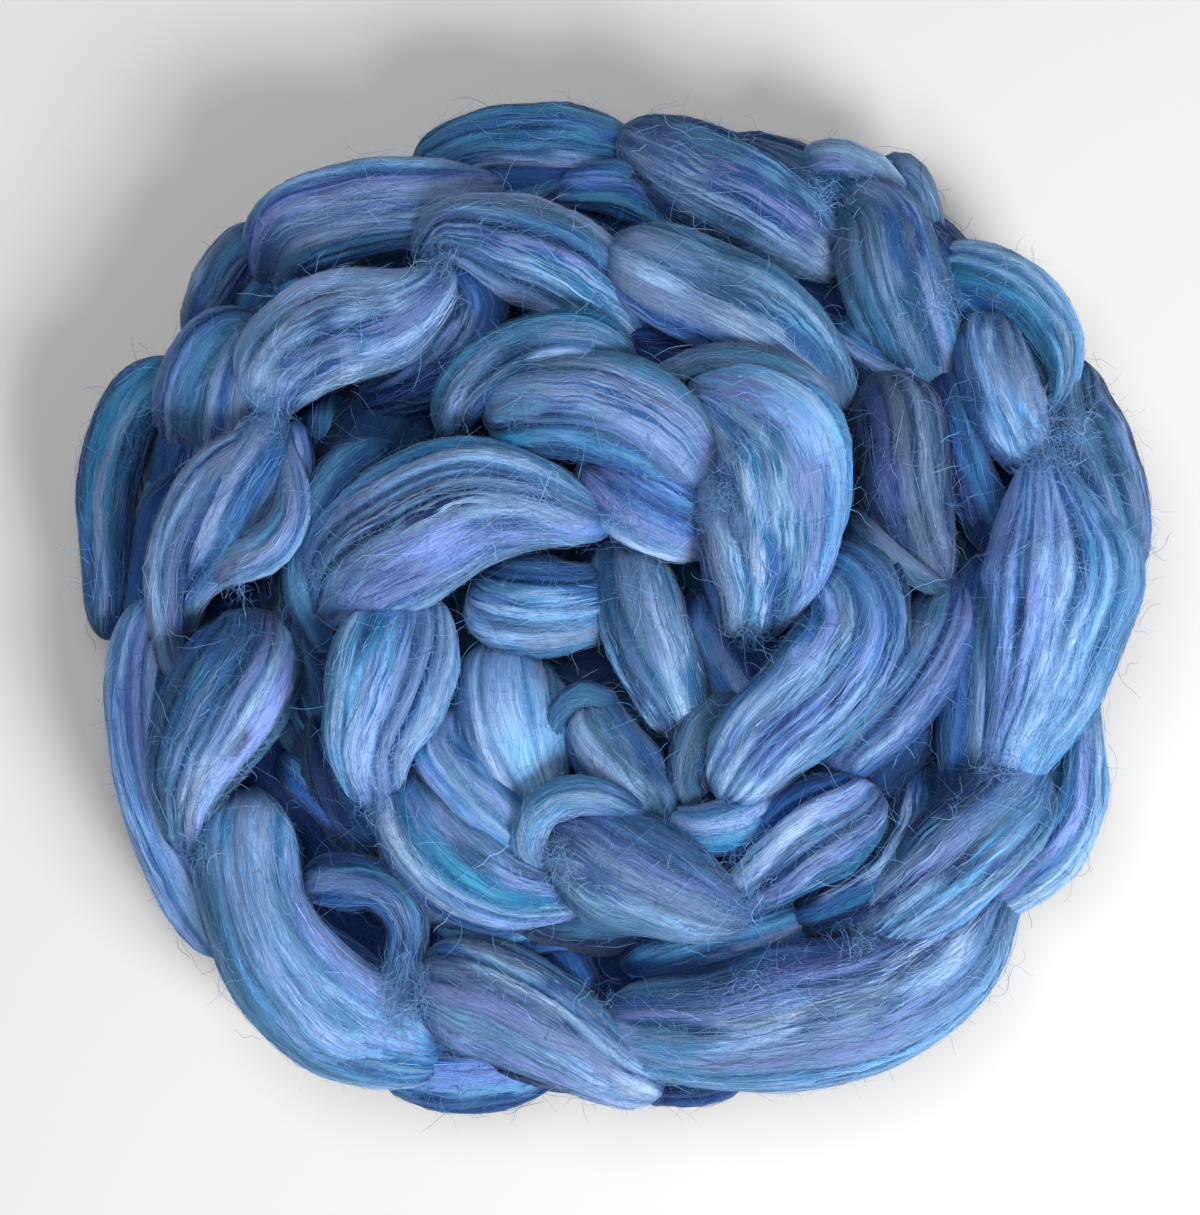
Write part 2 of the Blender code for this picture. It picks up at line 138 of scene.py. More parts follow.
# How clearly the strands of a hazy lock part, beside the others'.
HAZY_LOCKS = {
    "outer_lower_left": 0.45, "outer_upper_right": 0.7, "outer_bottom_right": 0.75, "middle_bottom": 0.45,
    "top_heart": 0.65, "top_bottom": 0.75,
}
# Furrows that always show: the share across the lock from its left, the run at the middle, the reach, and the
# depth and the flank in mm.
FURROWS = {
    "outer_right_fan": (
        (0.24, 0.30, 0.38, 1.6, 0.8), (0.37, 0.22, 0.25, 1.4, 0.6), (0.50, 0.25, 0.34, 2.6, 1.0),
        (0.62, 0.20, 0.22, 1.4, 0.6), (0.79, 0.32, 0.45, 1.8, 0.7), (0.66, 0.75, 0.30, 1.5, 0.7),
    ),
    "top_left": ((0.24, 0.45, 0.50, 1.6, 0.7), (0.42, 0.40, 0.45, 1.3, 0.6)),
    "middle_lower_left": ((0.55, 0.55, 0.50, 1.5, 0.7),),
    "middle_bottom_right": ((0.42, 0.55, 0.45, 1.8, 0.7),),
    "top_lower_right": ((0.30, 0.55, 0.45, 1.4, 0.6), (0.52, 0.55, 0.45, 1.6, 0.7)),
}
# The fine ridges on the strands.
RIDGE_EVERY = 0.9 * MM
FEWEST_RIDGES = 6
RIDGE_HEIGHT = 0.09 * MM
# Wide shallow lumps: how many round the lock and along it, and how high they are.
LUMPS = (9, 6)
LUMP_HEIGHT = 0.6 * MM

# The tones of the dyed wool, as red, green and blue in hex.
TONES = {
    "navy": "132a62", "denim": "2a5999", "teal": "1e6e9e", "aqua": "4aa0ce", "steel": "4a85b2",
    "sky": "6db0e6", "pale": "95beea", "white": "b2d0f3", "lavender": "7a90cf", "violet": "586ab6",
    "mist": "819fce", "periwinkle": "7294df",
}
# Dark tones for the hidden locks: painted shade, as they lie under the locks that show.
HIDDEN_SHADED_TONES = ("denim", "navy", "denim", "teal", "steel", "navy", "denim", "denim")
TONES_ON_HIDDEN = 9
TONE_JITTER = 0.03
NEAR_TONE_JITTER = 0.06
# How steeply one tone gives way to the next, and how far along the lock a strand's changes may shift.
TONE_EDGE = 3
STAGE_SHIFT = 0.10
STRAND_SHADE = 0.22
# How much darker the wool is painted deep between strands, on a strand's flanks, down a lock's sides and at
# its
# ends, than on its crest: painted shade.
DEEP_SHADE = (0.46, 1.3 * MM)
FLANK_SHADE = 0.10
SIDE_SHADE = 0.30
SIDE_FADE = (1.3, 0.55)
END_SHADE = (0.28, 9 * MM, 0.15)
# Painted shade takes more of the red than of the blue.
SHADE_TINT = (2.0, 1.16, 0.76)
BRIGHTEST = 0.9

# Fibres: their share of all that are laid, the points along one, their length as a share of the lock, their
# slant and wave in radians round the lock, the lift of their ends and of their middle off the skin and their
# width in mm, how pale and how unlike each other they are, and whether their tip stands off.
FIBRE_KINDS = (
    # name, count, points, length from, to, slant, wave, lift, arch, width, paleness, unlikeness, tip is up
    ("lying", 33000, 4, 0.10, 0.45, 0.13, 0.06, 0.08, 0.20, 0.19, 0.06, 0.20, False),
    ("stray", 18500, 4, 0.07, 0.32, 0.45, 0.18, 0.12, 0.6, 0.10, 0.22, 0.25, False),
    ("fuzz", 16000, 6, 0.04, 0.18, 0.90, 0.40, 0.10, 1.5, 0.08, 0.30, 0.25, True),
)
FIBRE_SEED = 101
FIBRE_TURNS = (-0.30, 1.30)
FIBRE_WAVES = (1, 2.5)
FIBRE_LIFT = (0.3, 1)
FIBRE_ARCH = 0.6
TALLEST_ARCH = 2
TIP_RISE = (1.2, 2.4)
PALE_SPREAD = 0.08
FEWEST_FIBRES = 4
FIBRES_A_PIECE = 15000
# A ribbon is rolled to one side by about this much, and again along it. Its width varies, and it tapers.
RIBBON_ROLL = (0.45, 0.5)
RIBBON_WIDTH = (0.6, 1.3)
RIBBON_TAPER = (5, 0.25)
LOWEST_RIBBON = 0.02 * MM
RIBBON_LIE = 0.2 * MM
# Where a lock's skin, or a ribbon along and across it, starts in its cell of the map, and its share of it.
SKIN_CELL = (0.02, 0.96)
RIBBON_CELL_ALONG = (0.04, 0.92)
RIBBON_CELL_ACROSS = (0.2, 0.6)
# Loose fibres that lie across the locks, over the whole nest and in a tangle at each pinch.
CROSSING_SEED = 909
CROSSING_FIBRES = 2400
CROSSING_FLOOR = 18 * MM
CROSSING_POINTS = 10
CROSSING_WIDTH = 0.08 * MM
CROSSING_LIFT = 0.3 * MM
CROSSING_SLACK = (0.1, 0.9)
CROSSING_BEND_DOWN = 0.4 * MM
CROSSING_SMOOTHINGS = 3
CROSSING_TINT = (-0.1, 0.3)
# How far such a fibre falls at most for each millimetre along it, so that it stands out past a lock's side.
CROSSING_FALL = 0.35
CROSSING_TONES = ("mist", "pale", "sky", "steel", "lavender", "pale", "mist", "steel")
# The shapes of such fibres: length from and to in mm, bend from end to end and curl on the way, in radians.
CROSSING_SHAPE = (4, 15, 0.9, 0.3)
TANGLE_SHAPE = (3, 12, 1.6, 0.7)
FRAYED_SHAPE = (6, 15, 0.5, 0.25)
TANGLES = (
    # plan x, plan y, reach in mm, fibres
    (1046, 452, 9, 260), (1075, 430, 10, 240), (440, 262, 5, 110), (270, 418, 6, 130), (322, 577, 5, 60),
    (373, 805, 5, 110), (712, 508, 6, 150), (555, 855, 6, 110), (750, 905, 6, 110), (190, 852, 5, 90),
    (400, 1016, 6, 160), (240, 590, 5, 40), (748, 640, 5, 110), (1000, 765, 6, 120), (835, 190, 7, 120),
    (735, 830, 8, 120), (860, 940, 6, 80), (600, 1000, 5, 25), (620, 520, 5, 80), (945, 300, 7, 120),
    (398, 985, 6, 160), (760, 1000, 14, 160),
)
TANGLE_LEVEL = 45
# The frayed tip of the loose end, as the fibres that fan out from it, with the turn in radians that they
# start from and the sweep of their fan.
FRAYED_TIP = (
    # plan x, plan y, reach in mm, fibres, facing, sweep
    (404, 975, 5, 200, -1.95, 0.7), (398, 1000, 6, 180, -2.2, 1.2),
)
# The nest seen from above as square cells, each with its height, held up by those round it but for this fall.
RELIEF_CELL = 1.25 * MM
RELIEF_SIDE = 260
RELIEF_FALL = 0.6 * MM
# How far round a cell the rim of a hollow is looked for, in cells, how far below it a crossing fibre is
# painted
# darkest, and how dark: painted shade in the hollows.
RIM_REACH = 7
SUNK_DARK = 18 * MM
SUNK_SHADE = 0.85

# The soft pale sheen of fine fibres.
WOOL_FINISH = {
    "Sheen Weight": 0.25, "Sheen Roughness": 0.4, "Sheen Tint": (0.55, 0.72, 1.0, 1),
    "Specular Tint": (0.60, 0.78, 1.0, 1), "Specular IOR Level": 0.3,
}

FLOOR_REACH = 1.5
FLOOR_TONE = (0.80, 0.79, 0.77, 1)
FLOOR_ROUGHNESS = 0.8
ROOM_TONE = (0.90, 0.95, 1.0, 1)
ROOM_STRENGTH = 0.12
SENSOR = 36
# Each lamp: its name, its place, its size in metres and its power.
LAMPS = (
    ("key", (0.62, -0.66, 0.80), 0.6, 15),
    ("fill", (-0.20, 0.30, 1.25), 0.9, 7.5),
)

# Each row is a lock: its name, how light its wool is painted beside its tones, the tones of its strands from
# left to right as it runs, and the stations along it. That lightness and the tones hold painted light with
# the wool's own
# colour: pale and white tones where light falls on a lock's belly, darker ones and less lightness where it
# lies in shade. Where a lock changes tone as it runs, > parts its stages. A station's columns are the plan's
# x and y and the lock's width, in plan steps, and the height of its crest in mm.
OUTER_COIL = (
    ("left", 0.8,
     "navy denim teal steel aqua mist teal aqua denim > "
     "navy denim denim steel denim mist teal denim denim",
     (178, 358, 50, 26), (128, 410, 64, 33), (106, 480, 62, 34), (104, 560, 54, 32), (106, 640, 40, 20)),
    ("left_wisp", 1.5,
     "mist denim steel",
     (172, 450, 30, 20), (160, 490, 34, 25), (142, 535, 30, 18)),
    ("upper_left", 0.95,
     "mist steel mist steel denim mist > denim steel denim mist denim",
     (262, 318, 56, 32), (215, 348, 82, 40), (187, 395, 76, 40), (186, 455, 60, 22)),
    ("upper_left_tuck", 0.6,
     "denim mist denim steel mist",
     (258, 222, 40, 28), (226, 260, 46, 33), (204, 302, 48, 33), (196, 350, 42, 24)),
    ("top_left", 0.95,
     "denim violet lavender mist denim mist steel denim > "
     "pale violet lavender mist mist denim mist steel denim > "
     "pale violet periwinkle mist mist steel denim mist navy",
     (262, 285, 50, 28), (285, 232, 90, 42), (350, 207, 100, 46), (430, 198, 86, 44), (480, 190, 50, 34),
     (520, 186, 20, 20)),
    ("top", 0.9,
     "teal steel denim steel teal steel denim mist",
     (412, 168, 36, 24), (470, 138, 56, 34), (545, 130, 66, 36), (602, 140, 56, 34), (642, 158, 30, 24)),
    ("top_tuck", 1.15,
     "denim steel periwinkle denim steel denim",
     (552, 192, 20, 24), (582, 186, 44, 36), (622, 186, 58, 39), (660, 204, 56, 36), (697, 234, 40, 24)),
    ("top_right", 0.55,
     "denim steel denim denim mist denim teal > "
     "denim steel denim sky denim periwinkle lavender denim mist pale mist steel denim > "
     "denim steel denim mist denim lavender mist pale mist steel",
     (615, 132, 46, 30), (655, 150, 88, 40), (705, 172, 106, 45), (765, 200, 110, 46), (815, 235, 84, 38),
     (848, 272, 45, 24)),
    ("top_right_band", 0.85,
     "white pale denim lavender mist",
     (800, 165, 40, 26), (835, 156, 40, 33), (875, 170, 36, 33), (905, 205, 28, 26)),
    ("top_right_tuck", 0.55,
     "mist steel mist steel",
     (878, 165, 36, 22), (906, 172, 38, 27), (926, 207, 34, 26), (934, 260, 30, 22)),
    ("upper_right", 0.7,
     "steel denim mist denim steel teal mist > "
     "steel denim lavender mist denim teal mist steel teal steel > "
     "denim steel mist denim steel teal steel",
     (845, 190, 50, 30), (880, 215, 92, 41), (895, 265, 110, 46), (914, 318, 102, 42), (932, 368, 80, 31),
     (944, 404, 46, 20)),
    ("upper_right_tuck", 1.3,
     "denim mist steel denim mist denim mist",
     (832, 318, 46, 30), (860, 345, 60, 35), (905, 366, 60, 35), (948, 400, 42, 26)),
    ("right_hook", 0.95,
     "steel pale sky teal teal denim > pale white pale aqua teal teal > sky white white sky teal",
     (925, 270, 50, 26), (975, 267, 60, 34), (1030, 291, 62, 36), (1060, 335, 52, 36), (1066, 370, 38, 36),
     (1058, 398, 20, 37), (1046, 420, 6, 36)),
    ("right_inner", 1,
     "denim steel mist mist steel denim > mist lavender mist steel pale mist steel mist denim > "
     "lavender pale mist steel mist denim",
     (985, 305, 60, 30), (998, 365, 76, 42), (1017, 420, 72, 44), (1042, 478, 36, 34)),
    ("right_dark", 0.85,
     "denim steel denim navy denim",
     (942, 360, 40, 30), (958, 430, 50, 38), (980, 500, 52, 38), (1005, 555, 40, 28)),
    ("right_fuzz", 0.65,
     "denim mist steel mist steel denim steel",
     (1078, 356, 40, 28), (1082, 408, 70, 38), (1106, 460, 84, 43), (1124, 520, 62, 44),
     (1130, 580, 34, 34)),
    ("right_fan", 1.5,
     "steel teal steel mist denim mist lavender mist steel lavender > "
     "steel denim mist steel pale mist mist white pale lavender pale lavender steel > "
     "sky pale sky steel pale mist white pale sky mist lavender lavender denim",
     (1042, 448, 22, 36), (1048, 476, 66, 44), (1061, 520, 134, 50), (1071, 572, 167, 53),
     (1064, 634, 147, 54), (1046, 700, 112, 50), (1022, 752, 76, 42), (1010, 795, 40, 26)),
    ("right_fan_edge", 0.85,
     "denim mist steel denim denim",
     (988, 552, 36, 32), (976, 620, 50, 41), (968, 700, 55, 42), (966, 765, 50, 36), (975, 815, 36, 22)),
    ("right_low", 1.1,
     "sky white pale lavender mist steel > pale white mist lavender pale steel",
     (1085, 680, 34, 26), (1086, 740, 40, 32), (1086, 795, 48, 34), (1064, 845, 56, 36),
     (1020, 886, 56, 30), (975, 912, 36, 22)),
    ("lower_right", 0.85,
     "steel mist denim steel mist denim steel > "
     "sky white periwinkle sky navy pale lavender navy mist steel navy > "
     "sky periwinkle pale denim steel denim pale denim",
     (1040, 765, 60, 30), (1010, 812, 104, 46), (962, 860, 112, 49), (905, 908, 92, 45), (848, 948, 42, 28)),
    ("bottom_right", 0.95,
     "steel denim lavender mist steel mist steel sky > "
     "denim violet lavender denim white pale denim mist lavender mist sky pale > "
     "denim steel denim mist lavender pale steel mist white sky",
     (598, 1018, 44, 32), (645, 1030, 95, 42), (720, 1036, 122, 46), (800, 1023, 148, 48),
     (882, 1006, 142, 48), (952, 966, 112, 42), (994, 908, 62, 28), (1010, 868, 36, 20)),
    ("bottom_right_tuck", 0.7,
     "navy lavender navy denim",
     (620, 1074, 44, 26), (685, 1076, 74, 30), (760, 1058, 60, 26)),
    ("bottom_left", 0.85,
     "mist denim pale mist steel lavender mist steel mist denim > "
     "steel denim pale white denim mist lavender mist denim pale mist lavender steel > "
     "steel mist pale denim lavender white mist denim sky white mist",
     (415, 982, 56, 32), (455, 993, 112, 43), (505, 1013, 122, 46), (565, 1043, 102, 46),
     (620, 1077, 68, 42), (662, 1092, 36, 28)),
    ("bottom_tuck", 0.8,
     "navy lavender periwinkle sky denim",
     (372, 1058, 46, 22), (425, 1073, 84, 30), (490, 1074, 88, 31), (570, 1060, 56, 27)),
    ("lower_left", 1.25,
     "steel steel mist steel mist mist steel steel > "
     "mist lavender steel mist steel mist mist steel mist steel steel > "
     "mist pale mist sky lavender lavender pale pale sky steel steel sky",
     (252, 788, 60, 32), (242, 838, 98, 43), (251, 900, 98, 47), (281, 965, 108, 49), (350, 1031, 116, 44),
     (442, 1055, 50, 30)),
    ("lower_left_fold", 0.85,
     "steel mist denim steel mist > denim steel pale denim sky steel > "
     "steel sky periwinkle sky denim sky pale",
     (200, 852, 30, 30), (222, 920, 44, 40), (262, 990, 62, 43), (330, 1045, 70, 43), (398, 1066, 52, 38),
     (446, 1066, 26, 26)),
    ("lower_left_rim", 1.5,
     "pale mist lavender pale denim mist > pale lavender mist pale mist denim mist",
     (160, 590, 46, 28), (133, 660, 58, 34), (131, 750, 50, 34), (152, 830, 52, 32), (190, 910, 52, 28),
     (225, 958, 36, 20)),
    ("lower_left_tuck", 1.5,
     "navy denim navy steel denim navy",
     (275, 755, 56, 26), (318, 785, 62, 31), (362, 828, 60, 31), (400, 868, 46, 26)),
    ("loose_end", 0.75,
     "denim steel mist denim steel denim > denim steel denim mist steel denim > "
     "pale sky mist pale mist",
     (296, 886, 44, 32), (338, 882, 56, 38), (380, 889, 54, 40), (405, 920, 46, 39), (404, 958, 42, 37),
     (400, 995, 48, 35), (396, 1028, 50, 32)),
    ("loose_end_back", 1.25,
     "sky mist steel",
     (425, 955, 30, 28), (428, 990, 40, 31), (420, 1025, 40, 28)),
)
MIDDLE_COIL = (
    ("left", 1.05,
     "mist mist denim steel denim mist mist steel mist > "
     "mist mist steel denim navy mist denim mist mist",
     (280, 418, 46, 38), (254, 462, 84, 53), (225, 508, 104, 55), (207, 548, 90, 51), (186, 590, 44, 42),
     (178, 640, 30, 28)),
    ("left_curl", 0.85,
     "mist lavender mist steel mist > pale lavender mist steel mist > "
     "white pale lavender pale mist denim",
     (276, 430, 18, 44), (291, 476, 28, 53), (288, 518, 40, 57), (264, 548, 48, 58), (232, 563, 40, 52),
     (206, 580, 24, 42)),
    ("left_strand", 0.6,
     "denim mist steel mist lavender pale mist > denim mist lavender mist pale mist mist",
     (262, 430, 22, 46), (210, 470, 46, 55), (175, 525, 46, 56), (162, 585, 40, 50), (169, 648, 32, 38),
     (182, 690, 20, 30)),
    ("left_edge", 1.5,
     "lavender mist pale",
     (294, 420, 24, 40), (300, 465, 30, 46), (290, 520, 28, 44), (285, 560, 20, 34)),
    ("upper_left", 0.95,
     "mist steel mist pale mist pale denim mist denim steel denim > "
     "mist pale mist pale navy mist pale denim lavender steel mist denim white pale > "
     "mist steel mist denim mist denim pale white denim",
     (262, 418, 46, 38), (275, 365, 100, 52), (325, 326, 116, 58), (388, 312, 108, 60), (425, 290, 66, 57),
     (447, 264, 22, 46)),
    ("upper_left_edge", 0.7,
     "mist mist denim mist steel",
     (258, 322, 40, 40), (230, 375, 52, 45), (222, 425, 50, 40), (226, 465, 34, 26)),
    ("upper_left_wrap", 1,
     "navy denim steel denim pale mist denim > navy denim navy mist lavender denim > "
     "denim navy denim mist",
     (454, 262, 26, 50), (478, 305, 62, 53), (452, 354, 64, 51), (404, 386, 50, 44), (352, 404, 34, 34)),
    ("pocket_back", 1.5,
     "denim steel mist denim steel denim",
     (335, 380, 46, 28), (335, 420, 70, 33), (330, 465, 56, 26)),
    ("top", 0.8,
     "mist sky pale denim denim navy mist > mist steel denim lavender denim teal pale mist mist > "
     "steel lavender denim teal steel mist denim steel",
     (415, 262, 28, 42), (448, 228, 66, 52), (505, 240, 104, 57), (565, 262, 108, 58), (612, 296, 86, 50),
     (655, 338, 46, 34)),
    ("top_tuck", 1.5,
     "denim navy navy steel",
     (505, 312, 36, 36), (570, 332, 46, 42), (650, 345, 50, 43), (725, 345, 40, 38)),
    ("top_right", 0.8,
     "mist steel mist steel mist pale mist denim > "
     "steel sky pale steel teal denim sky white pale lavender mist lavender denim > "
     "steel sky mist steel denim pale mist steel denim",
     (604, 244, 56, 50), (648, 262, 92, 59), (705, 286, 106, 60), (765, 315, 100, 59), (815, 360, 76, 54),
     (845, 412, 40, 38)),
    ("right", 0.45,
     "denim mist lavender mist denim denim navy > denim mist pale mist lavender violet denim navy > "
     "denim lavender mist denim navy",
     (880, 372, 50, 36), (900, 420, 94, 50), (906, 480, 98, 52), (922, 540, 74, 47), (944, 590, 38, 34)),
    ("right_band", 0.45,
     "steel mist steel mist",
     (848, 508, 20, 44), (882, 545, 26, 50), (918, 575, 26, 49), (948, 592, 12, 40)),
    ("lower_right", 0.95,
     "denim violet lavender mist steel mist denim > "
     "denim lavender mist pale mist denim lavender mist denim pale mist steel",
     (955, 572, 44, 34), (942, 630, 76, 46), (908, 690, 88, 51), (862, 735, 82, 48), (818, 782, 44, 34)),
    ("bottom_right", 1.05,
     "teal denim mist steel lavender mist denim > "
     "teal denim lavender mist navy pale white mist steel denim",
     (878, 792, 48, 38), (853, 816, 86, 50), (812, 840, 104, 55), (770, 870, 80, 51), (732, 896, 46, 36)),
    ("bottom_right_tuck", 0.95,
     "navy denim teal denim pale navy",
     (925, 758, 46, 28), (922, 815, 60, 39), (895, 872, 66, 42), (842, 904, 60, 40), (788, 920, 38, 28)),
    ("bottom_right_fold", 1.15,
     "mist sky mist steel teal denim",
     (662, 822, 40, 38), (705, 832, 52, 49), (750, 820, 52, 50), (800, 785, 40, 38)),
    ("bottom", 0.7,
     "teal denim denim lavender denim mist denim pale steel steel > "
     "denim lavender steel periwinkle lavender mist steel mist pale mist steel",
     (548, 845, 56, 42), (572, 843, 102, 54), (620, 869, 128, 60), (680, 896, 106, 58), (722, 913, 60, 47),
     (748, 920, 26, 32)),
    ("bottom_band", 0.9,
     "sky pale sky pale mist > steel pale sky mist > denim mist steel denim",
     (546, 878, 22, 42), (528, 842, 36, 53), (546, 808, 42, 58), (592, 796, 38, 60), (645, 815, 22, 54)),
    ("bottom_dark", 1.2,
     "denim steel mist denim",
     (620, 968, 40, 28), (690, 950, 50, 34), (760, 935, 50, 35), (825, 912, 40, 28)),
    ("bottom_deep", 1,
     "navy denim denim navy",
     (540, 940, 46, 26), (575, 975, 46, 29), (588, 1018, 36, 24)),
    ("bottom_left_tuck", 1.35,
     "navy denim steel navy denim",
     (418, 925, 46, 28), (480, 938, 58, 33), (560, 925, 60, 33), (615, 930, 46, 28)),
    ("bottom_left", 0.85,
     "steel mist steel lavender teal teal white sky denim > "
     "mist steel lavender denim teal teal aqua white pale lavender periwinkle denim",
     (396, 765, 40, 40), (407, 820, 80, 52), (446, 866, 98, 57), (500, 897, 84, 57), (545, 902, 56, 48),
     (580, 898, 34, 34)),
    ("bottom_left_fold", 1.1,
     "denim steel lavender steel mist pale lavender steel mist",
     (440, 695, 40, 42), (436, 748, 60, 51), (475, 795, 66, 53), (525, 840, 52, 49), (555, 878, 36, 36)),
    ("lower_left", 0.8,
     "denim navy steel denim mist denim steel denim teal denim > "
     "steel mist lavender pale lavender lavender mist steel denim teal denim teal denim > "
     "steel pale lavender white lavender pale navy aqua teal aqua teal denim",
     (258, 614, 56, 30), (245, 655, 108, 46), (216, 706, 128, 54), (190, 762, 102, 52), (182, 812, 58, 42),
     (189, 855, 34, 30)),
)
TOP_COIL = (
    ("left", 0.9,
     "steel denim mist steel denim mist denim steel > "
     "steel teal pale mist navy pale mist navy pale mist denim lavender periwinkle lavender periwinkle "
     "pale > "
     "steel mist steel mist denim steel lavender periwinkle lavender sky white",
     (325, 628, 56, 44), (347, 572, 120, 58), (400, 532, 148, 67), (465, 500, 140, 69), (530, 501, 98, 65),
     (578, 516, 60, 58), (612, 526, 24, 48)),
    ("left_edge", 0.75,
     "teal mist denim steel steel denim",
     (392, 442, 30, 52), (345, 468, 44, 54), (312, 520, 46, 53), (304, 590, 44, 50), (330, 655, 30, 36)),
    ("top_arc", 0.75,
     "teal steel mist steel mist teal denim",
     (442, 436, 36, 46), (466, 385, 58, 58), (520, 348, 64, 63), (580, 340, 66, 63), (636, 362, 44, 52)),
    ("top", 1,
     "steel teal steel mist steel mist steel teal > "
     "steel mist pale lavender mist denim mist lavender steel periwinkle steel denim > "
     "mist pale steel lavender mist sky white mist steel",
     (484, 412, 60, 50), (530, 402, 100, 63), (600, 404, 112, 69), (660, 430, 106, 67), (702, 478, 64, 56),
     (722, 520, 20, 44)),
    ("top_fold", 1.4,
     "denim lavender denim lavender denim > denim lavender steel lavender denim lavender steel white",
     (580, 458, 46, 48), (620, 488, 80, 58), (665, 515, 88, 61), (708, 532, 60, 54), (745, 545, 34, 40)),
    ("right_band", 0.5,
     "mist steel mist steel mist",
     (652, 388, 24, 44), (690, 364, 30, 55), (740, 358, 34, 61), (800, 378, 34, 62), (838, 418, 24, 54)),
    ("right", 1.1,
     "sky pale sky lavender mist teal pale mist denim teal mist pale denim > "
     "sky pale periwinkle lavender steel teal pale mist denim teal white denim steel",
     (690, 380, 30, 50), (730, 390, 72, 62), (778, 432, 132, 71), (788, 495, 130, 71), (781, 552, 116, 67),
     (766, 602, 72, 58), (753, 640, 22, 43)),
    ("right_lobe", 0.65,
     "denim sky pale steel pale mist denim",
     (712, 458, 24, 54), (722, 505, 56, 62), (736, 555, 68, 65), (740, 600, 58, 60), (734, 636, 22, 44)),
    ("lower_right", 1.25,
     "denim steel teal denim steel denim navy > "
     "steel mist denim pale lavender navy white pale teal lavender pale denim teal > "
     "mist pale white denim periwinkle white pale denim white steel",
     (800, 560, 50, 46), (845, 580, 84, 57), (858, 630, 104, 62), (822, 690, 112, 65), (766, 742, 96, 64),
     (722, 804, 56, 48)),
    ("lower_right_edge", 0.45,
     "denim steel teal denim",
     (842, 532, 36, 44), (876, 568, 48, 53), (892, 620, 44, 54), (886, 672, 36, 48)),
    ("lower_right_fold", 0.45,
     "navy denim steel mist steel",
     (748, 698, 46, 44), (708, 730, 60, 52), (690, 772, 46, 50), (704, 812, 26, 36)),
    ("lower_right_tuck", 1.5,
     "navy denim denim navy > navy mist steel navy",
     (700, 588, 50, 36), (708, 640, 72, 44), (735, 690, 70, 44), (768, 735, 40, 30)),
    ("lower_left", 1.15,
     "pale mist steel lavender mist denim teal sky pale steel > "
     "pale mist lavender periwinkle mist lavender pale denim sky white sky teal",
     (405, 588, 66, 44), (394, 645, 130, 60), (379, 700, 126, 64), (366, 750, 92, 60), (378, 805, 44, 42)),
    ("bottom", 1.05,
     "steel mist sky pale mist pale mist steel > "
     "steel mist sky white pale sky pale mist white mist steel",
     (505, 638, 76, 38), (505, 690, 114, 50), (514, 735, 118, 55), (528, 775, 84, 51), (542, 808, 42, 38)),
    ("bottom_right", 0.7,
     "denim steel mist steel pale mist steel denim",
     (585, 690, 46, 40), (594, 726, 74, 52), (622, 765, 78, 53), (650, 806, 58, 45), (672, 852, 36, 32)),
    ("bottom_right_band", 0.7,
     "denim steel denim steel denim",
     (562, 768, 16, 44), (553, 722, 22, 53), (580, 694, 26, 55), (618, 702, 20, 50)),
    ("heart_right", 0.75,
     "denim steel mist steel mist teal steel > teal pale denim white pale steel lavender denim pale",
     (620, 530, 50, 40), (632, 588, 86, 54), (650, 640, 92, 58), (675, 695, 72, 53), (698, 742, 38, 38)),
    ("heart", 1,
     "denim steel denim steel steel denim mist pale steel pale mist steel",
     (474, 590, 60, 40), (500, 602, 96, 52), (550, 606, 102, 57), (590, 600, 78, 51), (612, 590, 46, 38)),
)


def linear(code):
    """A tone written as six hex digits, as linear red, green and blue."""
    channels = np.array([int(code[start:start + 2], 16) for start in (0, 2, 4)]) / 255
    return np.where(channels <= 0.04045, channels / 12.92, ((channels + 0.055) / 1.055) ** 2.4)


DYES = {name: linear(code) for name, code in TONES.items()}


def unit(vectors):
    return vectors / np.maximum(np.linalg.norm(vectors, axis=-1, keepdims=True), 1e-9)


def mixed(first, second, share):
    return first * (1 - share) + second * share


def eased(share):
    share = np.clip(share, 0, 1)
    return share * share * (3 - 2 * share)


def softened(table, axis):
    """The table with each cell drawn halfway to its neighbours along an axis."""
    return (np.roll(table, 1, axis) + 2 * table + np.roll(table, -1, axis)) / 4


def drawn_along(table, share):
    """The rows of a table, eased from one to the next, at each share of the way along it."""
    place = np.clip(share, 0, 1) * (len(table) - 1)
    low = np.minimum(place.astype(int), len(table) - 2)
    blend = eased(place - low)
    blend = blend.reshape(blend.shape + (1,) * (table.ndim - 1))
    return mixed(table[low], table[low + 1], blend)


def station_in_metres(station):
    """(x, y, crest height, width) in metres, from the middle of the nest."""
    x, y, width, crest = station
    height = crest * MM
    step = PLAN_STEP * (EYE_ABOVE_LEVEL + PLAN_LEVEL - height) / EYE_ABOVE_LEVEL
    across = (x - EYE_OVER[0]) * step - NEST_MIDDLE[0]
    up = (EYE_OVER[1] - y) * step - NEST_MIDDLE[1]
    return across, up, height, width * step


def curve_through(stations):
    """A smooth curve through the stations, with the length run at each of its points."""
    stations = np.array(stations)
    ends = [2 * stations[0] - stations[1], *stations, 2 * stations[-1] - stations[-2]]
    share = np.linspace(0, 1, CURVE_STEPS, endpoint=False)[:, None]
    points = []
    for before, start, end, after in zip(ends, ends[1:], ends[2:], ends[3:]):
        span = np.linalg.norm((end - start)[:2])
        leave = (end - before) * span / (np.linalg.norm((start - before)[:2]) + span)
        arrive = (after - start) * span / (np.linalg.norm((after - end)[:2]) + span)
        points.append(
            (2 * share**3 - 3 * share**2 + 1) * start
            + (share**3 - 2 * share**2 + share) * leave
            + (3 * share**2 - 2 * share**3) * end
            + (share**3 - share**2) * arrive
        )
    points = np.vstack([*points, stations[-1:]])
    run = np.concatenate([[0], np.cumsum(np.linalg.norm(np.diff(points[:, :3], axis=0), axis=1))])
    return points, run


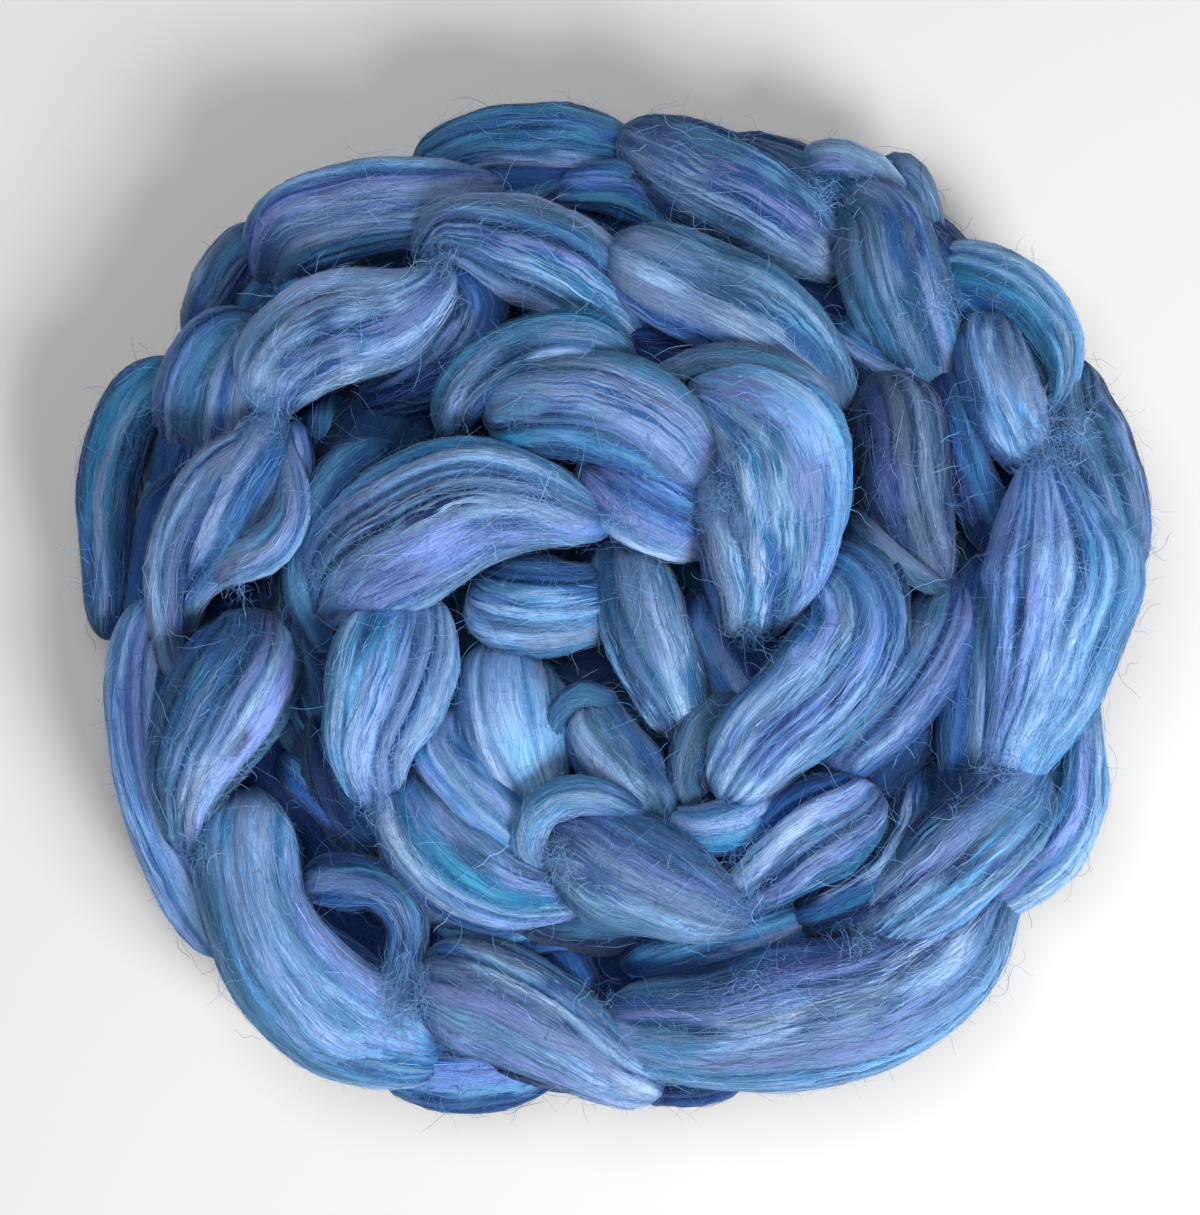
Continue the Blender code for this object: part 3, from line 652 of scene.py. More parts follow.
def nose(distance, width):
    """The share of its width that a lock has at this distance from its rounded end."""
    reach = max(width * NOSE_REACH, SLIMMEST_NOSE)
    return (1 - (1 - np.clip(distance / reach, 0, 1)) ** 2) ** NOSE_POWER


class Lock:
    """One bulge of the chain: its skin as lines of points along and round it, its strands' tones and painted
    shade.

    A turn is the angle round the lock, looking along it: 0 at its right side, a quarter over its top and a
    half at its left side. A run is the share of the way along it.
    """

    def __init__(self, name, lightness_and_painted_light, tones, stations, plumpness=LOCK_PLUMPNESS, coarseness=1):
        self.name = name
        self.lightness_and_painted_light = lightness_and_painted_light
        letters = enumerate(name[::-1][:SEED_LETTERS])
        self.chance = np.random.default_rng(sum(ord(letter) * SEED_STEP**place for place, letter in letters))
        points, run = curve_through([station_in_metres(station) for station in stations])
        self.length = run[-1]
        self.wide = points[:, 3].max()
        thickest = min(plumpness * self.wide, LOCK_THICKEST)
        self.girth = math.pi * math.sqrt((self.wide**2 + thickest**2) / 2)
        self.radius = self.girth / math.tau
        rows = max(FEWEST_ROWS, round(self.length / ROW_GAP / coarseness))
        over = max(FEWEST_OVER, round(self.girth / 2 / TOP_GAP / coarseness))
        under = max(FEWEST_UNDER, round(self.girth / 2 / UNDER_GAP / coarseness))
        share = np.linspace(0, 1, rows)
        self.runs = share - END_CROWDING * np.sin(math.tau * share) / math.tau
        top_turns = np.linspace(0, math.pi, over, endpoint=False)
        self.turns = np.concatenate([top_turns, np.linspace(math.pi, math.tau, under + 1)])
        at = self.length * self.runs
        x, y, crest, full_width = (np.interp(at, run, points[:, column]) for column in range(4))
        width = full_width * nose(at, full_width[0]) * nose(run[-1] - at, full_width[-1])
        thick = np.minimum(plumpness * width, LOCK_THICKEST)
        level = crest - np.minimum(plumpness * full_width, LOCK_THICKEST) / 2
        middle = np.stack([x, y, level], axis=1)
        along = unit(np.gradient(middle, self.runs, axis=0))
        side = unit(np.cross(along, (0, 0, 1)))
        rise = np.cross(side, along)[:, None]
        side = side[:, None]
        cos, sin = np.cos(self.turns), np.sin(self.turns)
        wide_share = np.sign(cos) * np.abs(cos) ** SHOULDER_POWER
        rise_share = np.sign(sin) * np.abs(sin) ** SHOULDER_POWER
        self.out = unit(
            side * (cos[None] * thick[:, None])[..., None] + rise * (sin[None] * width[:, None])[..., None]
            + 1e-7 * rise
        )
        self.skin = (
            middle[:, None] + side * (wide_share[None] * width[:, None] / 2)[..., None]
            + rise * (rise_share[None] * thick[:, None] / 2)[..., None]
        )
        self.fullness = np.clip(width / self.wide, 0, 1)
        self.stages = [[DYES[tone] for tone in stage.split()] for stage in tones.split(">")]
        self.bundle()
        self.skin += self.out * self.height[..., None]
        self.skin[..., 2] = np.maximum(self.skin[..., 2], 0)

    def off(self, line):
        """How far round the lock each point is from a line with its own turn at each run, in radians."""
        return np.abs((self.turns[None] - line[:, None] + math.pi) % math.tau - math.pi)

    def turned(self, start):
        """A line that starts at this turn and goes round with the lock's twist."""
        return start - self.twist * (self.runs - 0.5)

    def parting(self, line, middle, reach, flank):
        """How deep each point lies in a parting along a line, which fades at its reach from a middle run."""
        open_here = eased(PARTING_FADE - np.abs(self.runs - middle) / reach)[:, None]
        return open_here * np.exp(-(self.off(line) * self.radius / flank) ** PARTING_SHARPNESS)

    def drawn_round(self, table):
        """A table with a row for each run, eased round the lock from its last column back to its first."""
        closed = np.concatenate([table, table[:, :1]], axis=1)
        return drawn_along(closed.T, self.turns / math.tau).T

    def bundle(self):
        """The strands: which one lies uppermost at each point, how high it stands and the shade painted on
        it.
        """
        chance = self.chance
        size = min(1, self.wide / FULL_STRAND_LOCK)
        strands = max(FEWEST_STRANDS, round(self.girth / STRAND_EVERY))
        staged = (STRAND_STAGES, strands)
        self.twist = chance.normal(0, TWIST)
        self.twist = TURNED_LOCKS.get(self.name, self.twist)
        starts = np.arange(strands) + chance.uniform(-STRAND_SHIFT, STRAND_SHIFT, strands)
        wander = chance.normal(0, STRAND_WANDER, staged)
        halves = chance.uniform(*STRAND_HALF, strands) * chance.uniform(*STRAND_CHANGE, staged)
        levels = chance.normal(0, STRAND_LEVEL, staged)
        swells = chance.uniform(*STRAND_SWELL, strands)
        self.centres = starts * math.tau / strands + drawn_along(wander, self.runs)
        self.centres -= self.twist * (self.runs[:, None] - 0.5)
        half = drawn_along(halves, self.runs) * max(size, FINEST_STRANDS) / self.radius
        level = drawn_along(levels, self.runs)
        height = np.full((len(self.runs), len(self.turns)), -GAP_DEPTH)
        self.owner = np.zeros(height.shape, int)
        flank = np.ones(height.shape)
        nearest = np.full(height.shape, np.inf)
        for strand in range(strands):
            place = self.off(self.centres[:, strand]) / half[:, strand, None]
            own = level[:, strand, None] + swells[strand] * np.sqrt(np.clip(1 - place**2, 0, 1))
            closer = (nearest > 1) & (place < nearest) & (place >= 1)
            self.owner[closer] = strand
            nearest = np.minimum(nearest, place)
            over = (place < 1) & (own > height)
            height[over] = own[over]
            flank[over] = place[over]
            self.owner[over] = strand
        crisp = HAZY_LOCKS.get(self.name, 1)
        height = (height - height.mean()) * crisp
        deep, reach = DEEP_SHADE
        shade = 1 - (1 - deep) * eased(-height / reach)
        shade = shade * (1 - FLANK_SHADE * np.clip(flank, 0, 1) ** 2)
        partings = max(2, round(self.girth / 2 / PARTING_EVERY))
        for start in chance.uniform(*PARTING_START, partings) * math.pi:
            line = self.turned(start + drawn_along(chance.normal(0, PARTING_WANDER, 4), self.runs))
            middle, reach = chance.uniform(*PARTING_MIDDLE), chance.uniform(*PARTING_REACH)
            dip = self.parting(line, middle, reach, chance.uniform(*PARTING_FLANK))
            height = height - dip * chance.uniform(*PARTING_DEPTH) * crisp
            shade = shade * (1 - PARTING_DARK * dip * crisp)
        for across, middle, reach, depth, flank in FURROWS.get(self.name, ()):
            dip = self.parting(self.turned(math.acos(2 * across - 1)), middle, reach, flank * MM)
            height = height - dip * (depth * MM)
            shade = shade * (1 - PARTING_DARK * dip)
        slope, start = SIDE_FADE
        shade = shade * (SIDE_SHADE + (1 - SIDE_SHADE) * eased(np.sin(self.turns) * slope + start))
        painted_dark, reach, share = END_SHADE
        inner = np.minimum(self.runs, 1 - self.runs) * self.length / (reach + share * self.wide)
        shade = shade * (painted_dark + (1 - painted_dark) * eased(inner))[:, None]
        for axis in (0, 1, 1):
            shade = softened(shade, axis)
        self.shade = shade[..., None] ** np.array(SHADE_TINT)
        lumps = drawn_along(chance.normal(0, LUMP_HEIGHT, LUMPS), self.runs)
        ridges = (STRAND_STAGES, max(FEWEST_RIDGES, round(self.girth / RIDGE_EVERY)))
        ridges = drawn_along(chance.normal(0, RIDGE_HEIGHT, ridges), self.runs)
        height = height + self.drawn_round(lumps) + self.drawn_round(ridges)
        self.height = height * self.fullness[:, None] * size
        self.jitters = [chance.normal(0, jitter, strands) for jitter in (TONE_JITTER, NEAR_TONE_JITTER)]
        self.strand_shade = np.exp(chance.normal(0, STRAND_SHADE, strands))
        self.strand_shade /= self.strand_shade.mean()
        self.change = chance.normal(0, STAGE_SHIFT, strands)

    def dye_and_painted_light_of(self, strand, run, near, spread=0.0):
        """The colour of a strand at this run, from the tones told from left to right, or of one near it."""
        row = np.interp(run, self.runs, np.arange(len(self.runs))).round().astype(int)
        centre = self.centres[row, strand] + self.twist * (run - 0.5)
        across = (1 + np.cos(centre)) / 2 + self.jitters[near][strand] + spread
        across = 1 - np.abs(1 - np.abs(across))
        last = len(self.stages) - 1
        stage_place = np.clip((run + self.change[strand]) * last, 0, last)
        colour = np.zeros(np.shape(across) + (3,))
        for number, stage in enumerate(self.stages):
            weight = eased(1 - np.abs(stage_place - number))
            place = np.clip(across * len(stage) - 0.5, 0, len(stage) - 1)
            low = np.minimum(place.astype(int), max(len(stage) - 2, 0))
            tones = np.array(stage + stage[-1:])
            blend = np.clip((place - low - 0.5) * TONE_EDGE + 0.5, 0, 1)[..., None]
            colour += weight[..., None] * mixed(tones[low], tones[low + 1], blend)
        # The lock's lightness holds painted light and shade as well as the wool's own lightness.
        colour = colour * self.strand_shade[strand][..., None] * self.lightness_and_painted_light
        return colour * np.minimum(BRIGHTEST / colour.max(axis=-1, keepdims=True), 1)

    def skin_dye_and_painted_light(self, near):
        """The colour, with its painted lightness, at each point of the skin, softened where one strand meets
        the next.
        """
        columns = len(self.turns) - 1
        dye_with_painted_light = self.dye_and_painted_light_of(self.owner[:, :columns], np.repeat(self.runs[:, None], columns, axis=1), near)
        return softened(softened(dye_with_painted_light, 1), 1)

    def at(self, run, turn):
        """The point of the skin, the way out of it, its shade and the strand there, at each run and turn."""
        row = np.interp(run, self.runs, np.arange(len(self.runs)))
        column = np.interp(turn % math.tau, self.turns, np.arange(len(self.turns)))
        low = np.minimum(row.astype(int), len(self.runs) - 2)
        left = np.minimum(column.astype(int), len(self.turns) - 2)
        down, right = (row - low)[..., None], (column - left)[..., None]
        found = []
        for table in (self.skin, self.out, self.shade):
            near = mixed(table[low, left], table[low, left + 1], right)
            far = mixed(table[low + 1, left], table[low + 1, left + 1], right)
            found.append(mixed(near, far, down))
        strand = self.owner[row.round().astype(int), column.round().astype(int)]
        return found[0], unit(found[1]), found[2], strand


def new_piece(name, points, corners, sizes, share, lie, dye_with_painted_light, near, material):
    """An object from flat arrays: its points, the points at its faces' corners, how many corners each face
    has, the share of the map and the lie of the fibre at each corner, and the two colours at each point, each
    with painted shade."""
    mesh = bpy.data.meshes.new(name)
    mesh.vertices.add(len(points))
    mesh.vertices.foreach_set("co", np.asarray(points, np.float32).ravel())
    mesh.loops.add(len(corners))
    mesh.loops.foreach_set("vertex_index", np.asarray(corners, np.int32))
    mesh.polygons.add(len(sizes))
    starts = np.concatenate([[0], np.cumsum(sizes)[:-1]])
    mesh.polygons.foreach_set("loop_start", starts.astype(np.int32))
    for map_name, places in (("OFBake", share), ("fibre_lie", lie)):
        layer = mesh.uv_layers.new(name=map_name)
        layer.uv.foreach_set("vector", np.asarray(places, np.float32).ravel())
    for dye_name, colours in (("dye_with_painted_light", dye_with_painted_light), ("near_dye_with_painted_light", near)):
        attribute = mesh.color_attributes.new(dye_name, "FLOAT_COLOR", "POINT")
        colours = np.concatenate([colours, np.ones((len(colours), 1))], axis=1)
        attribute.data.foreach_set("color", colours.astype(np.float32).ravel())
    mesh.update(calc_edges=True)
    mesh.validate()
    mesh.shade_smooth()
    mesh.materials.append(material)
    piece = bpy.data.objects.new(name, mesh)
    bpy.context.scene.collection.objects.link(piece)
    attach(piece, "root")
    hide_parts("roving_braid")


def skin_arrays(lock):
    """What new_piece takes for a lock's skin: lines of quads between a fan of triangles at each tip."""
    rows, columns = len(lock.runs), len(lock.turns) - 1
    tips = [lock.skin[row].mean(axis=0)[None] for row in (0, -1)]
    points = np.concatenate([lock.skin[1:-1, :columns].reshape(-1, 3), *tips])
    line = np.arange(columns)
    row, column = np.meshgrid(np.arange(1, rows - 2), line, indexing="ij")
    quad_rows = np.stack([row, row + 1, row + 1, row], axis=-1)
    quad_columns = np.stack([column, column, column + 1, column + 1], axis=-1)
    fan = np.stack([line, line + 1, line + 0.5], axis=-1)
    fan_rows = [np.tile([1, 1, 0], columns), np.tile([rows - 2, rows - 2, rows - 1], columns)]
    corner_row = np.concatenate([quad_rows.ravel(), *fan_rows])
    corner_column = np.concatenate([quad_columns.ravel(), fan.ravel(), fan[:, [1, 0, 2]].ravel()])
    corners = np.select(
        [corner_row == 0, corner_row == rows - 1], [len(points) - 2, len(points) - 1],
        (corner_row - 1) * columns + corner_column % columns,
    ).astype(int)
    sizes = np.concatenate([np.full(row.size, 4), np.full(2 * columns, 3)])
    run = np.interp(corner_row, np.arange(rows), lock.runs)
    turn = np.interp(corner_column, np.arange(columns + 1), lock.turns)
    own = lock.chance.uniform(0, 4, 2)
    round_it = (turn + lock.twist * (run - 0.5)) / math.tau * lock.girth
    lie = np.stack([run * lock.length + own[0], round_it + own[1]], axis=-1)
    share = np.stack([corner_column / columns, run], axis=-1)
    at = (
        np.concatenate([np.repeat(np.arange(1, rows - 1), columns), [0, rows - 1]]),
        np.concatenate([np.tile(line, rows - 2), [0, 0]]),
    )
    # Each point's colour is its strand's tone times the shade painted on it.
    dye_with_painted_light, near = (lock.skin_dye_and_painted_light(side)[at] * lock.shade[at] for side in (False, True))
    return points, corners, sizes, share, lie, dye_with_painted_light, near


def make_skin(name, locks, material):
    """One piece of the skins of these locks, each with its own cell of the map."""
    across = math.ceil(math.sqrt(len(locks)))
    edge, size = SKIN_CELL
    before = 0
    skins = []
    for number, lock in enumerate(locks):
        points, corners, sizes, share, *rest = skin_arrays(lock)
        cell = np.array([number % across, number // across])
        skins.append((points, corners + before, sizes, (cell + edge + size * share) / across, *rest))
        before += len(points)
    new_piece(name, *(np.concatenate(part) for part in zip(*skins)), material)


def each(draw, count, *spread):
    """A number drawn for each fibre, to be used all along it."""
    return draw(*spread, (count, 1))


def waves_along(steps, height, count, chance):
    """A wave along each fibre, with its own height, length and start."""
    tall = each(chance.normal, count, 0, height)
    turns = steps * each(chance.uniform, count, *FIBRE_WAVES) * math.tau
    return tall * np.sin(turns + each(chance.uniform, count, 0, math.tau))


def ribbon_edges(point, out, width, chance):
    """The two edges of a ribbon along each row of points, tapered and a little rolled."""
    count, points = point.shape[:2]
    steps = np.linspace(0, 1, points)[None]
    across = unit(np.cross(unit(np.gradient(point, axis=1)), out))
    lean, wring = RIBBON_ROLL
    roll = each(chance.normal, count, 0, lean) + each(chance.normal, count, 0, wring) * (steps - 0.5)
    across = across * np.cos(roll)[..., None] + out * np.sin(roll)[..., None]
    slope, tip = RIBBON_TAPER
    taper = np.clip(np.minimum(steps, 1 - steps) * slope + tip, 0, 1)
    half = across * (width / 2 * each(chance.uniform, count, *RIBBON_WIDTH) * taper)[..., None]
    edges = np.stack([point - half, point + half], axis=2)
    edges[..., 2] = np.maximum(edges[..., 2], LOWEST_RIBBON)
    return edges


def cells_of(places):
    """The cells of the relief that hold these places."""
    cells = (places / RELIEF_CELL + RELIEF_SIDE / 2).astype(int).clip(0, RELIEF_SIDE - 1)
    return cells[..., 0], cells[..., 1]


def relief_of(locks):
    """The height of the nest in each cell of the relief, and that of the highest wool round each."""
    relief = np.zeros((RELIEF_SIDE, RELIEF_SIDE))
    for lock in locks:
        skin = lock.skin.reshape(-1, 3)
        np.maximum.at(relief, cells_of(skin[:, :2]), skin[:, 2])
    for axis in (0, 1):
        for turn in (1, -1):
            relief = np.maximum(relief, np.roll(relief, turn, axis) - RELIEF_FALL)
    rim = relief
    for _ in range(RIM_REACH):
        for axis in (0, 1):
            rim = np.maximum(rim, np.maximum(np.roll(rim, 1, axis), np.roll(rim, -1, axis)))
    return relief, rim


def crossing_arrays(relief, rim, centres, shape, chance, facing=0.0, sweep=math.tau):
    """Fibres wandering over the relief, bridging its grooves: edges, two colours with painted shade, lies."""
    length_from, length_to, bend, curl = shape
    count = len(centres)
    steps = np.linspace(0, 1, CROSSING_POINTS)[None]
    length = each(chance.uniform, count, length_from * MM, length_to * MM)
    heading = facing + each(chance.uniform, count, 0, sweep)
    heading = heading + each(chance.normal, count, 0, bend) * (steps - 0.5)
    heading = heading + waves_along(steps, curl, count, chance)
    stride = np.stack([np.cos(heading), np.sin(heading)], axis=-1) * (length / CROSSING_POINTS)[..., None]
    way = np.cumsum(stride, axis=1)
    flat = centres[:, None] + way - way.mean(axis=1, keepdims=True)
    cells = cells_of(flat)
    ground = relief[cells]
    chord = mixed(ground[:, :1], ground[:, -1:], steps)
    height = np.maximum(ground, mixed(chord, ground, each(chance.uniform, count, *CROSSING_SLACK)))
    between = (np.roll(height, 1, 1) + np.roll(height, -1, 1)) / 2
    height = np.maximum(height, between - CROSSING_BEND_DOWN)
    for _ in range(CROSSING_SMOOTHINGS):
        height[:, 1:-1] = (height[:, :-2] + 2 * height[:, 1:-1] + height[:, 2:]) / 4
    fall = CROSSING_FALL * length[:, 0] / CROSSING_POINTS
    for step in range(1, CROSSING_POINTS):
        height[:, step] = np.maximum(height[:, step], height[:, step - 1] - fall)
    for step in range(CROSSING_POINTS - 2, -1, -1):
        height[:, step] = np.maximum(height[:, step], height[:, step + 1] - fall)
    height = height + each(chance.exponential, count, CROSSING_LIFT) * (0.4 + np.sin(math.pi * steps))
    point = np.concatenate([flat, height[..., None]], axis=-1)
    out = np.broadcast_to(np.array([0.0, 0.0, 1.0]), point.shape)
    edges = ribbon_edges(point, out, CROSSING_WIDTH, chance)
    tones = np.array([DYES[tone] for tone in CROSSING_TONES])
    tint = np.exp(each(chance.normal, count, *CROSSING_TINT))
    # Painted shade: a fibre deep below the rim of a hollow is painted darker.
    dim = 1 - SUNK_SHADE * eased((rim[cells] - height) / SUNK_DARK)
    dim = dim[..., None] ** np.array(SHADE_TINT)
    dye_with_painted_light, near = ((tones[chance.integers(0, len(tones), count)] * tint)[:, None] * dim for _ in range(2))
    place = each(chance.uniform, count, 0, 4) + np.zeros_like(height)
    return edges, dye_with_painted_light, near, np.stack([length * steps, place], axis=-1)


def fibre_arrays(lock, count, shape, chance):
    """Fibres laid on a lock: their edges, two colours with painted shade, and lies."""
    points, length_from, length_to, slant, wave, lift, arch, width, paleness, unlikeness, tip_is_up = shape
    steps = np.linspace(0, 1, points)[None]
    length = each(chance.uniform, count, length_from, length_to)
    run = each(chance.uniform, count, 0, 1) * (1 - length) + length * steps
    middle_turn = each(chance.uniform, count, *FIBRE_TURNS) * math.pi
    slants = each(chance.normal, count, 0, slant) * (steps - 0.5)
    turn = middle_turn + slants - lock.twist * (run - 0.5) + waves_along(steps, wave, count, chance)
    point, out, shade, strand = lock.at(run, turn)
    strand = np.repeat(strand[:, points // 2, None], points, axis=1)
    rise = steps ** each(chance.uniform, count, *TIP_RISE) if tip_is_up else 4 * steps * (1 - steps)
    lifts = lift * MM * each(chance.uniform, count, *FIBRE_LIFT)
    lifts = lifts + arch * MM * each(chance.exponential, count, FIBRE_ARCH).clip(0, TALLEST_ARCH) * rise
    point = point + out * lifts[..., None]
    edges = ribbon_edges(point, out, width * MM, chance)
    spread = each(chance.normal, count, 0, TONE_JITTER) + np.zeros_like(run)
    pale = np.clip(each(chance.normal, count, paleness, PALE_SPREAD), 0, 1)[..., None]
    tint = np.exp(each(chance.normal, count, 0, unlikeness))[..., None]
    # Each fibre's colour is its strand's tone times the shade painted where it lies.
    dyes_with_painted_light = (lock.dye_and_painted_light_of(strand, run, side, spread) * shade for side in (False, True))
    dye_with_painted_light, near = (mixed(own, DYES["pale"], pale) * tint for own in dyes_with_painted_light)
    place = each(chance.uniform, count, 0, 4) + np.zeros_like(run)
    return edges, dye_with_painted_light, near, np.stack([run * lock.length, place], axis=-1)


def make_fibres(name, fibres, material):
    """One piece of many ribbons, each a row of quads with its own cell of the map."""
    edges, dye_with_painted_light, near, lie = (np.concatenate(part) for part in zip(*fibres))
    count, points_each = edges.shape[:2]
    columns = math.ceil(math.sqrt(count / 6))
    rows = math.ceil(count / columns)
    which = np.arange(count)[:, None, None]
    first = 2 * (np.arange(count)[:, None] * points_each + np.arange(points_each - 1)[None])
    corners = np.stack([first, first + 1, first + 3, first + 2], axis=-1)
    step = np.arange(points_each - 1)[None, :, None] + np.array([0, 0, 1, 1])
    side = np.broadcast_to(np.array([0, 1, 1, 0]), corners.shape)
    edge, size = RIBBON_CELL_ALONG
    along = (which // rows + edge + size * step / (points_each - 1)) / columns
    edge, size = RIBBON_CELL_ACROSS
    up = (which % rows + edge + size * side) / rows
    share = np.stack(np.broadcast_arrays(along, up), axis=-1)
    corner_lie = np.stack([lie[:, :-1], lie[:, :-1], lie[:, 1:], lie[:, 1:]], axis=2)
    corner_lie = corner_lie + np.stack([np.zeros_like(side), side * RIBBON_LIE], axis=-1)
    dye_with_painted_light, near = (np.repeat(tone[:, :, None], 2, axis=2).reshape(-1, 3) for tone in (dye_with_painted_light, near))
    new_piece(
        name, edges.reshape(-1, 3), corners.ravel(), np.full(first.size, 4), share.reshape(-1, 2),
        corner_lie.reshape(-1, 2), dye_with_painted_light, near, material,
    )


def node(tree, kind, place, given=(), **settings):
    """A node with its settings, and a link or a value for each of its inputs that is given."""
    made = tree.nodes.new("ShaderNode" + kind)
    made.location = place
    for key, value in settings.items():
        setattr(made, key, value)
    for key, value in dict(given).items():
        if isinstance(value, bpy.types.NodeSocket):
            tree.links.new(value, made.inputs[key])
        else:
            made.inputs[key].default_value = value
    return made


def make_combed_fibre():
    """The streaks of combed fibre: long thin strands that mix two colours with painted shade, finer ones that
    shade and raise them, and pale ones that cross them both ways."""
    group = bpy.data.node_groups.new("combed_fibre", "ShaderNodeTree")
    for name, kind, way, value in (
        ("Dye With Painted Light", "Color", "INPUT", None), ("Near Dye", "Color", "INPUT", None),
        ("Lie", "Vector", "INPUT", None),
        ("Strand Width", "Float", "INPUT", 1.2 * MM), ("Strand Length", "Float", "INPUT", 60 * MM),
        ("Fleck", "Float", "INPUT", 0.3), ("Crimp", "Float", "INPUT", 0.5 * MM),
        ("Color", "Color", "OUTPUT", None), ("Height", "Float", "OUTPUT", None),
    ):
        socket = group.interface.new_socket(name, in_out=way, socket_type="NodeSocket" + kind)
        if value is not None:
            socket.default_value = value
    given = group.nodes.new("NodeGroupInput")
    given.location = (-1400, 0)
    given = given.outputs

    def maths(operation, place, *values):
        return node(group, "Math", place, enumerate(values), operation=operation).outputs[0]

    def noise(lie, detail, place, **values):
        values = {"Vector": lie, "Detail": detail, **values}
        return node(group, "TexNoise", place, values, noise_dimensions="2D").outputs["Fac"]

    def ranged(value, low, high, to_low, to_high, kind, place):
        values = {"Value": value, "From Min": low, "From Max": high, "To Min": to_low, "To Max": to_high}
        return node(group, "MapRange", place, values, interpolation_type=kind).outputs[0]

    apart = node(group, "SeparateXYZ", (-1200, -200), {0: given["Lie"]})
    along = apart.outputs["X"]
    waving = maths("SUBTRACT", (-1000, -500), noise(given["Lie"], 0.0, (-1200, -500), Scale=160.0), 0.5)
    crimped = maths("MULTIPLY_ADD", (-900, -300), waving, given["Crimp"], apart.outputs["Y"])

    def streaks(width_share, length_share, lean, detail, place):
        """Noise in strand widths and strand lengths, leaning to one side by a share of the run."""
        leaning = maths("MULTIPLY_ADD", (-1100, place + 160), along, lean, crimped)
        width = maths("MULTIPLY", (-1200, place), given["Strand Width"], width_share)
        length = maths("MULTIPLY", (-1200, place - 160), given["Strand Length"], length_share)
        lie = node(group, "CombineXYZ", (-800, place), {
            "X": maths("DIVIDE", (-1000, place - 160), along, length),
            "Y": maths("DIVIDE", (-1000, place), leaning, width),
        })
        return noise(lie.outputs[0], detail, (-600, place), Scale=1.0, Roughness=0.6)

    broad = streaks(1.0, 1.0, 0.0, 1.0, 600)
    fine = streaks(0.32, 0.4, 0.0, 2.0, 200)
    one_way = streaks(0.30, 0.32, 0.24, 0.0, -900)
    other_way = streaks(0.26, 0.26, -0.36, 0.0, -1400)
    either = maths("MAXIMUM", (-400, -1000), one_way, other_way)
    crossing = ranged(either, 0.56, 0.72, 0.0, 0.6, "SMOOTHSTEP", (-200, -1000))
    mask = ranged(broad, 0.47, 0.57, 0.0, 1.0, "SMOOTHSTEP", (-400, 600))
    mix = node(group, "Mix", (-200, 500), data_type="RGBA", given={
        "Factor": mask, "A": given["Dye With Painted Light"], "B": given["Near Dye"],
    })
    bright = ranged(fine, 0.28, 0.72, -1.0, 1.0, "LINEAR", (-400, 200))
    fleck = maths("MULTIPLY_ADD", (-200, 200), bright, given["Fleck"], 1.0)
    shaded = node(group, "VectorMath", (0, 400), operation="SCALE", given={
        0: mix.outputs["Result"], "Scale": fleck,
    })
    paler = node(group, "VectorMath", (200, 300), operation="MULTIPLY_ADD", given={
        0: shaded.outputs[0], 1: (1.34, 1.26, 1.18), 2: (0.008, 0.014, 0.026),
    })
    hazed = node(group, "Mix", (400, 400), data_type="RGBA", given={
        "Factor": crossing, "A": shaded.outputs[0], "B": paler.outputs[0],
    })
    raised = maths("ADD", (200, 0), fine, crossing)
    out = group.nodes.new("NodeGroupOutput")
    out.location = (600, 200)
    group.links.new(hazed.outputs["Result"], out.inputs["Color"])
    group.links.new(raised, out.inputs["Height"])
    return group


def wool_material(name, roughness, along):
    """A material of dyed wool: it, its nodes, its shader's inputs, two colours with painted shade, its
    fibre's lie.
    """
    material = bpy.data.materials.new(name)
    material.use_nodes = True
    tree = material.node_tree
    shader = tree.nodes["Principled BSDF"].inputs
    for key, value in {"Roughness": roughness, "Anisotropic": along, **WOOL_FINISH}.items():
        shader[key].default_value = value
    dye_with_painted_light = node(tree, "Attribute", (-800, 200), attribute_name="dye_with_painted_light").outputs["Color"]
    near = node(tree, "Attribute", (-800, 0), attribute_name="near_dye_with_painted_light").outputs["Color"]
    lie = node(tree, "UVMap", (-800, -200), uv_map="fibre_lie").outputs["UV"]
    return material, tree, shader, dye_with_painted_light, near, lie


def combed_wool():
    """The skin of a lock: the streaks of its fibres, and a silky shine along them."""
    material, tree, shader, dye_with_painted_light, near, lie = wool_material("combed_wool", roughness=0.62, along=0.4)
    streaks = node(tree, "Group", (-500, 100), node_tree=make_combed_fibre(), given={
        "Dye With Painted Light": dye_with_painted_light, "Near Dye": near, "Lie": lie,
        "Strand Width": 1.0 * MM, "Strand Length": 26 * MM, "Fleck": 0.26, "Crimp": 1.4 * MM,
    })
    raised = node(tree, "Bump", (-250, -150), {
        "Strength": 0.5, "Distance": 0.4 * MM, "Height": streaks.outputs["Height"],
    })
    tangent = node(tree, "Tangent", (-250, -400), direction_type="UV_MAP", uv_map="fibre_lie")
    tree.links.new(streaks.outputs["Color"], shader["Base Color"])
    tree.links.new(raised.outputs["Normal"], shader["Normal"])
    tree.links.new(tangent.outputs["Tangent"], shader["Tangent"])
    return material


def loose_fibre():
    """Single fibres, each with a colour, painted shade included, that drifts to the next one along it."""
    material, tree, shader, dye_with_painted_light, near, lie = wool_material("loose_fibre", roughness=0.6, along=0.0)
    drift = node(tree, "TexNoise", (-550, -200), noise_dimensions="2D", given={
        "Vector": lie, "Scale": 60.0, "Detail": 0.0,
    })
    both = node(tree, "Mix", (-250, 100), data_type="RGBA", given={
        "Factor": drift.outputs["Fac"], "A": dye_with_painted_light, "B": near,
    })
    tree.links.new(both.outputs["Result"], shader["Base Color"])
    return material


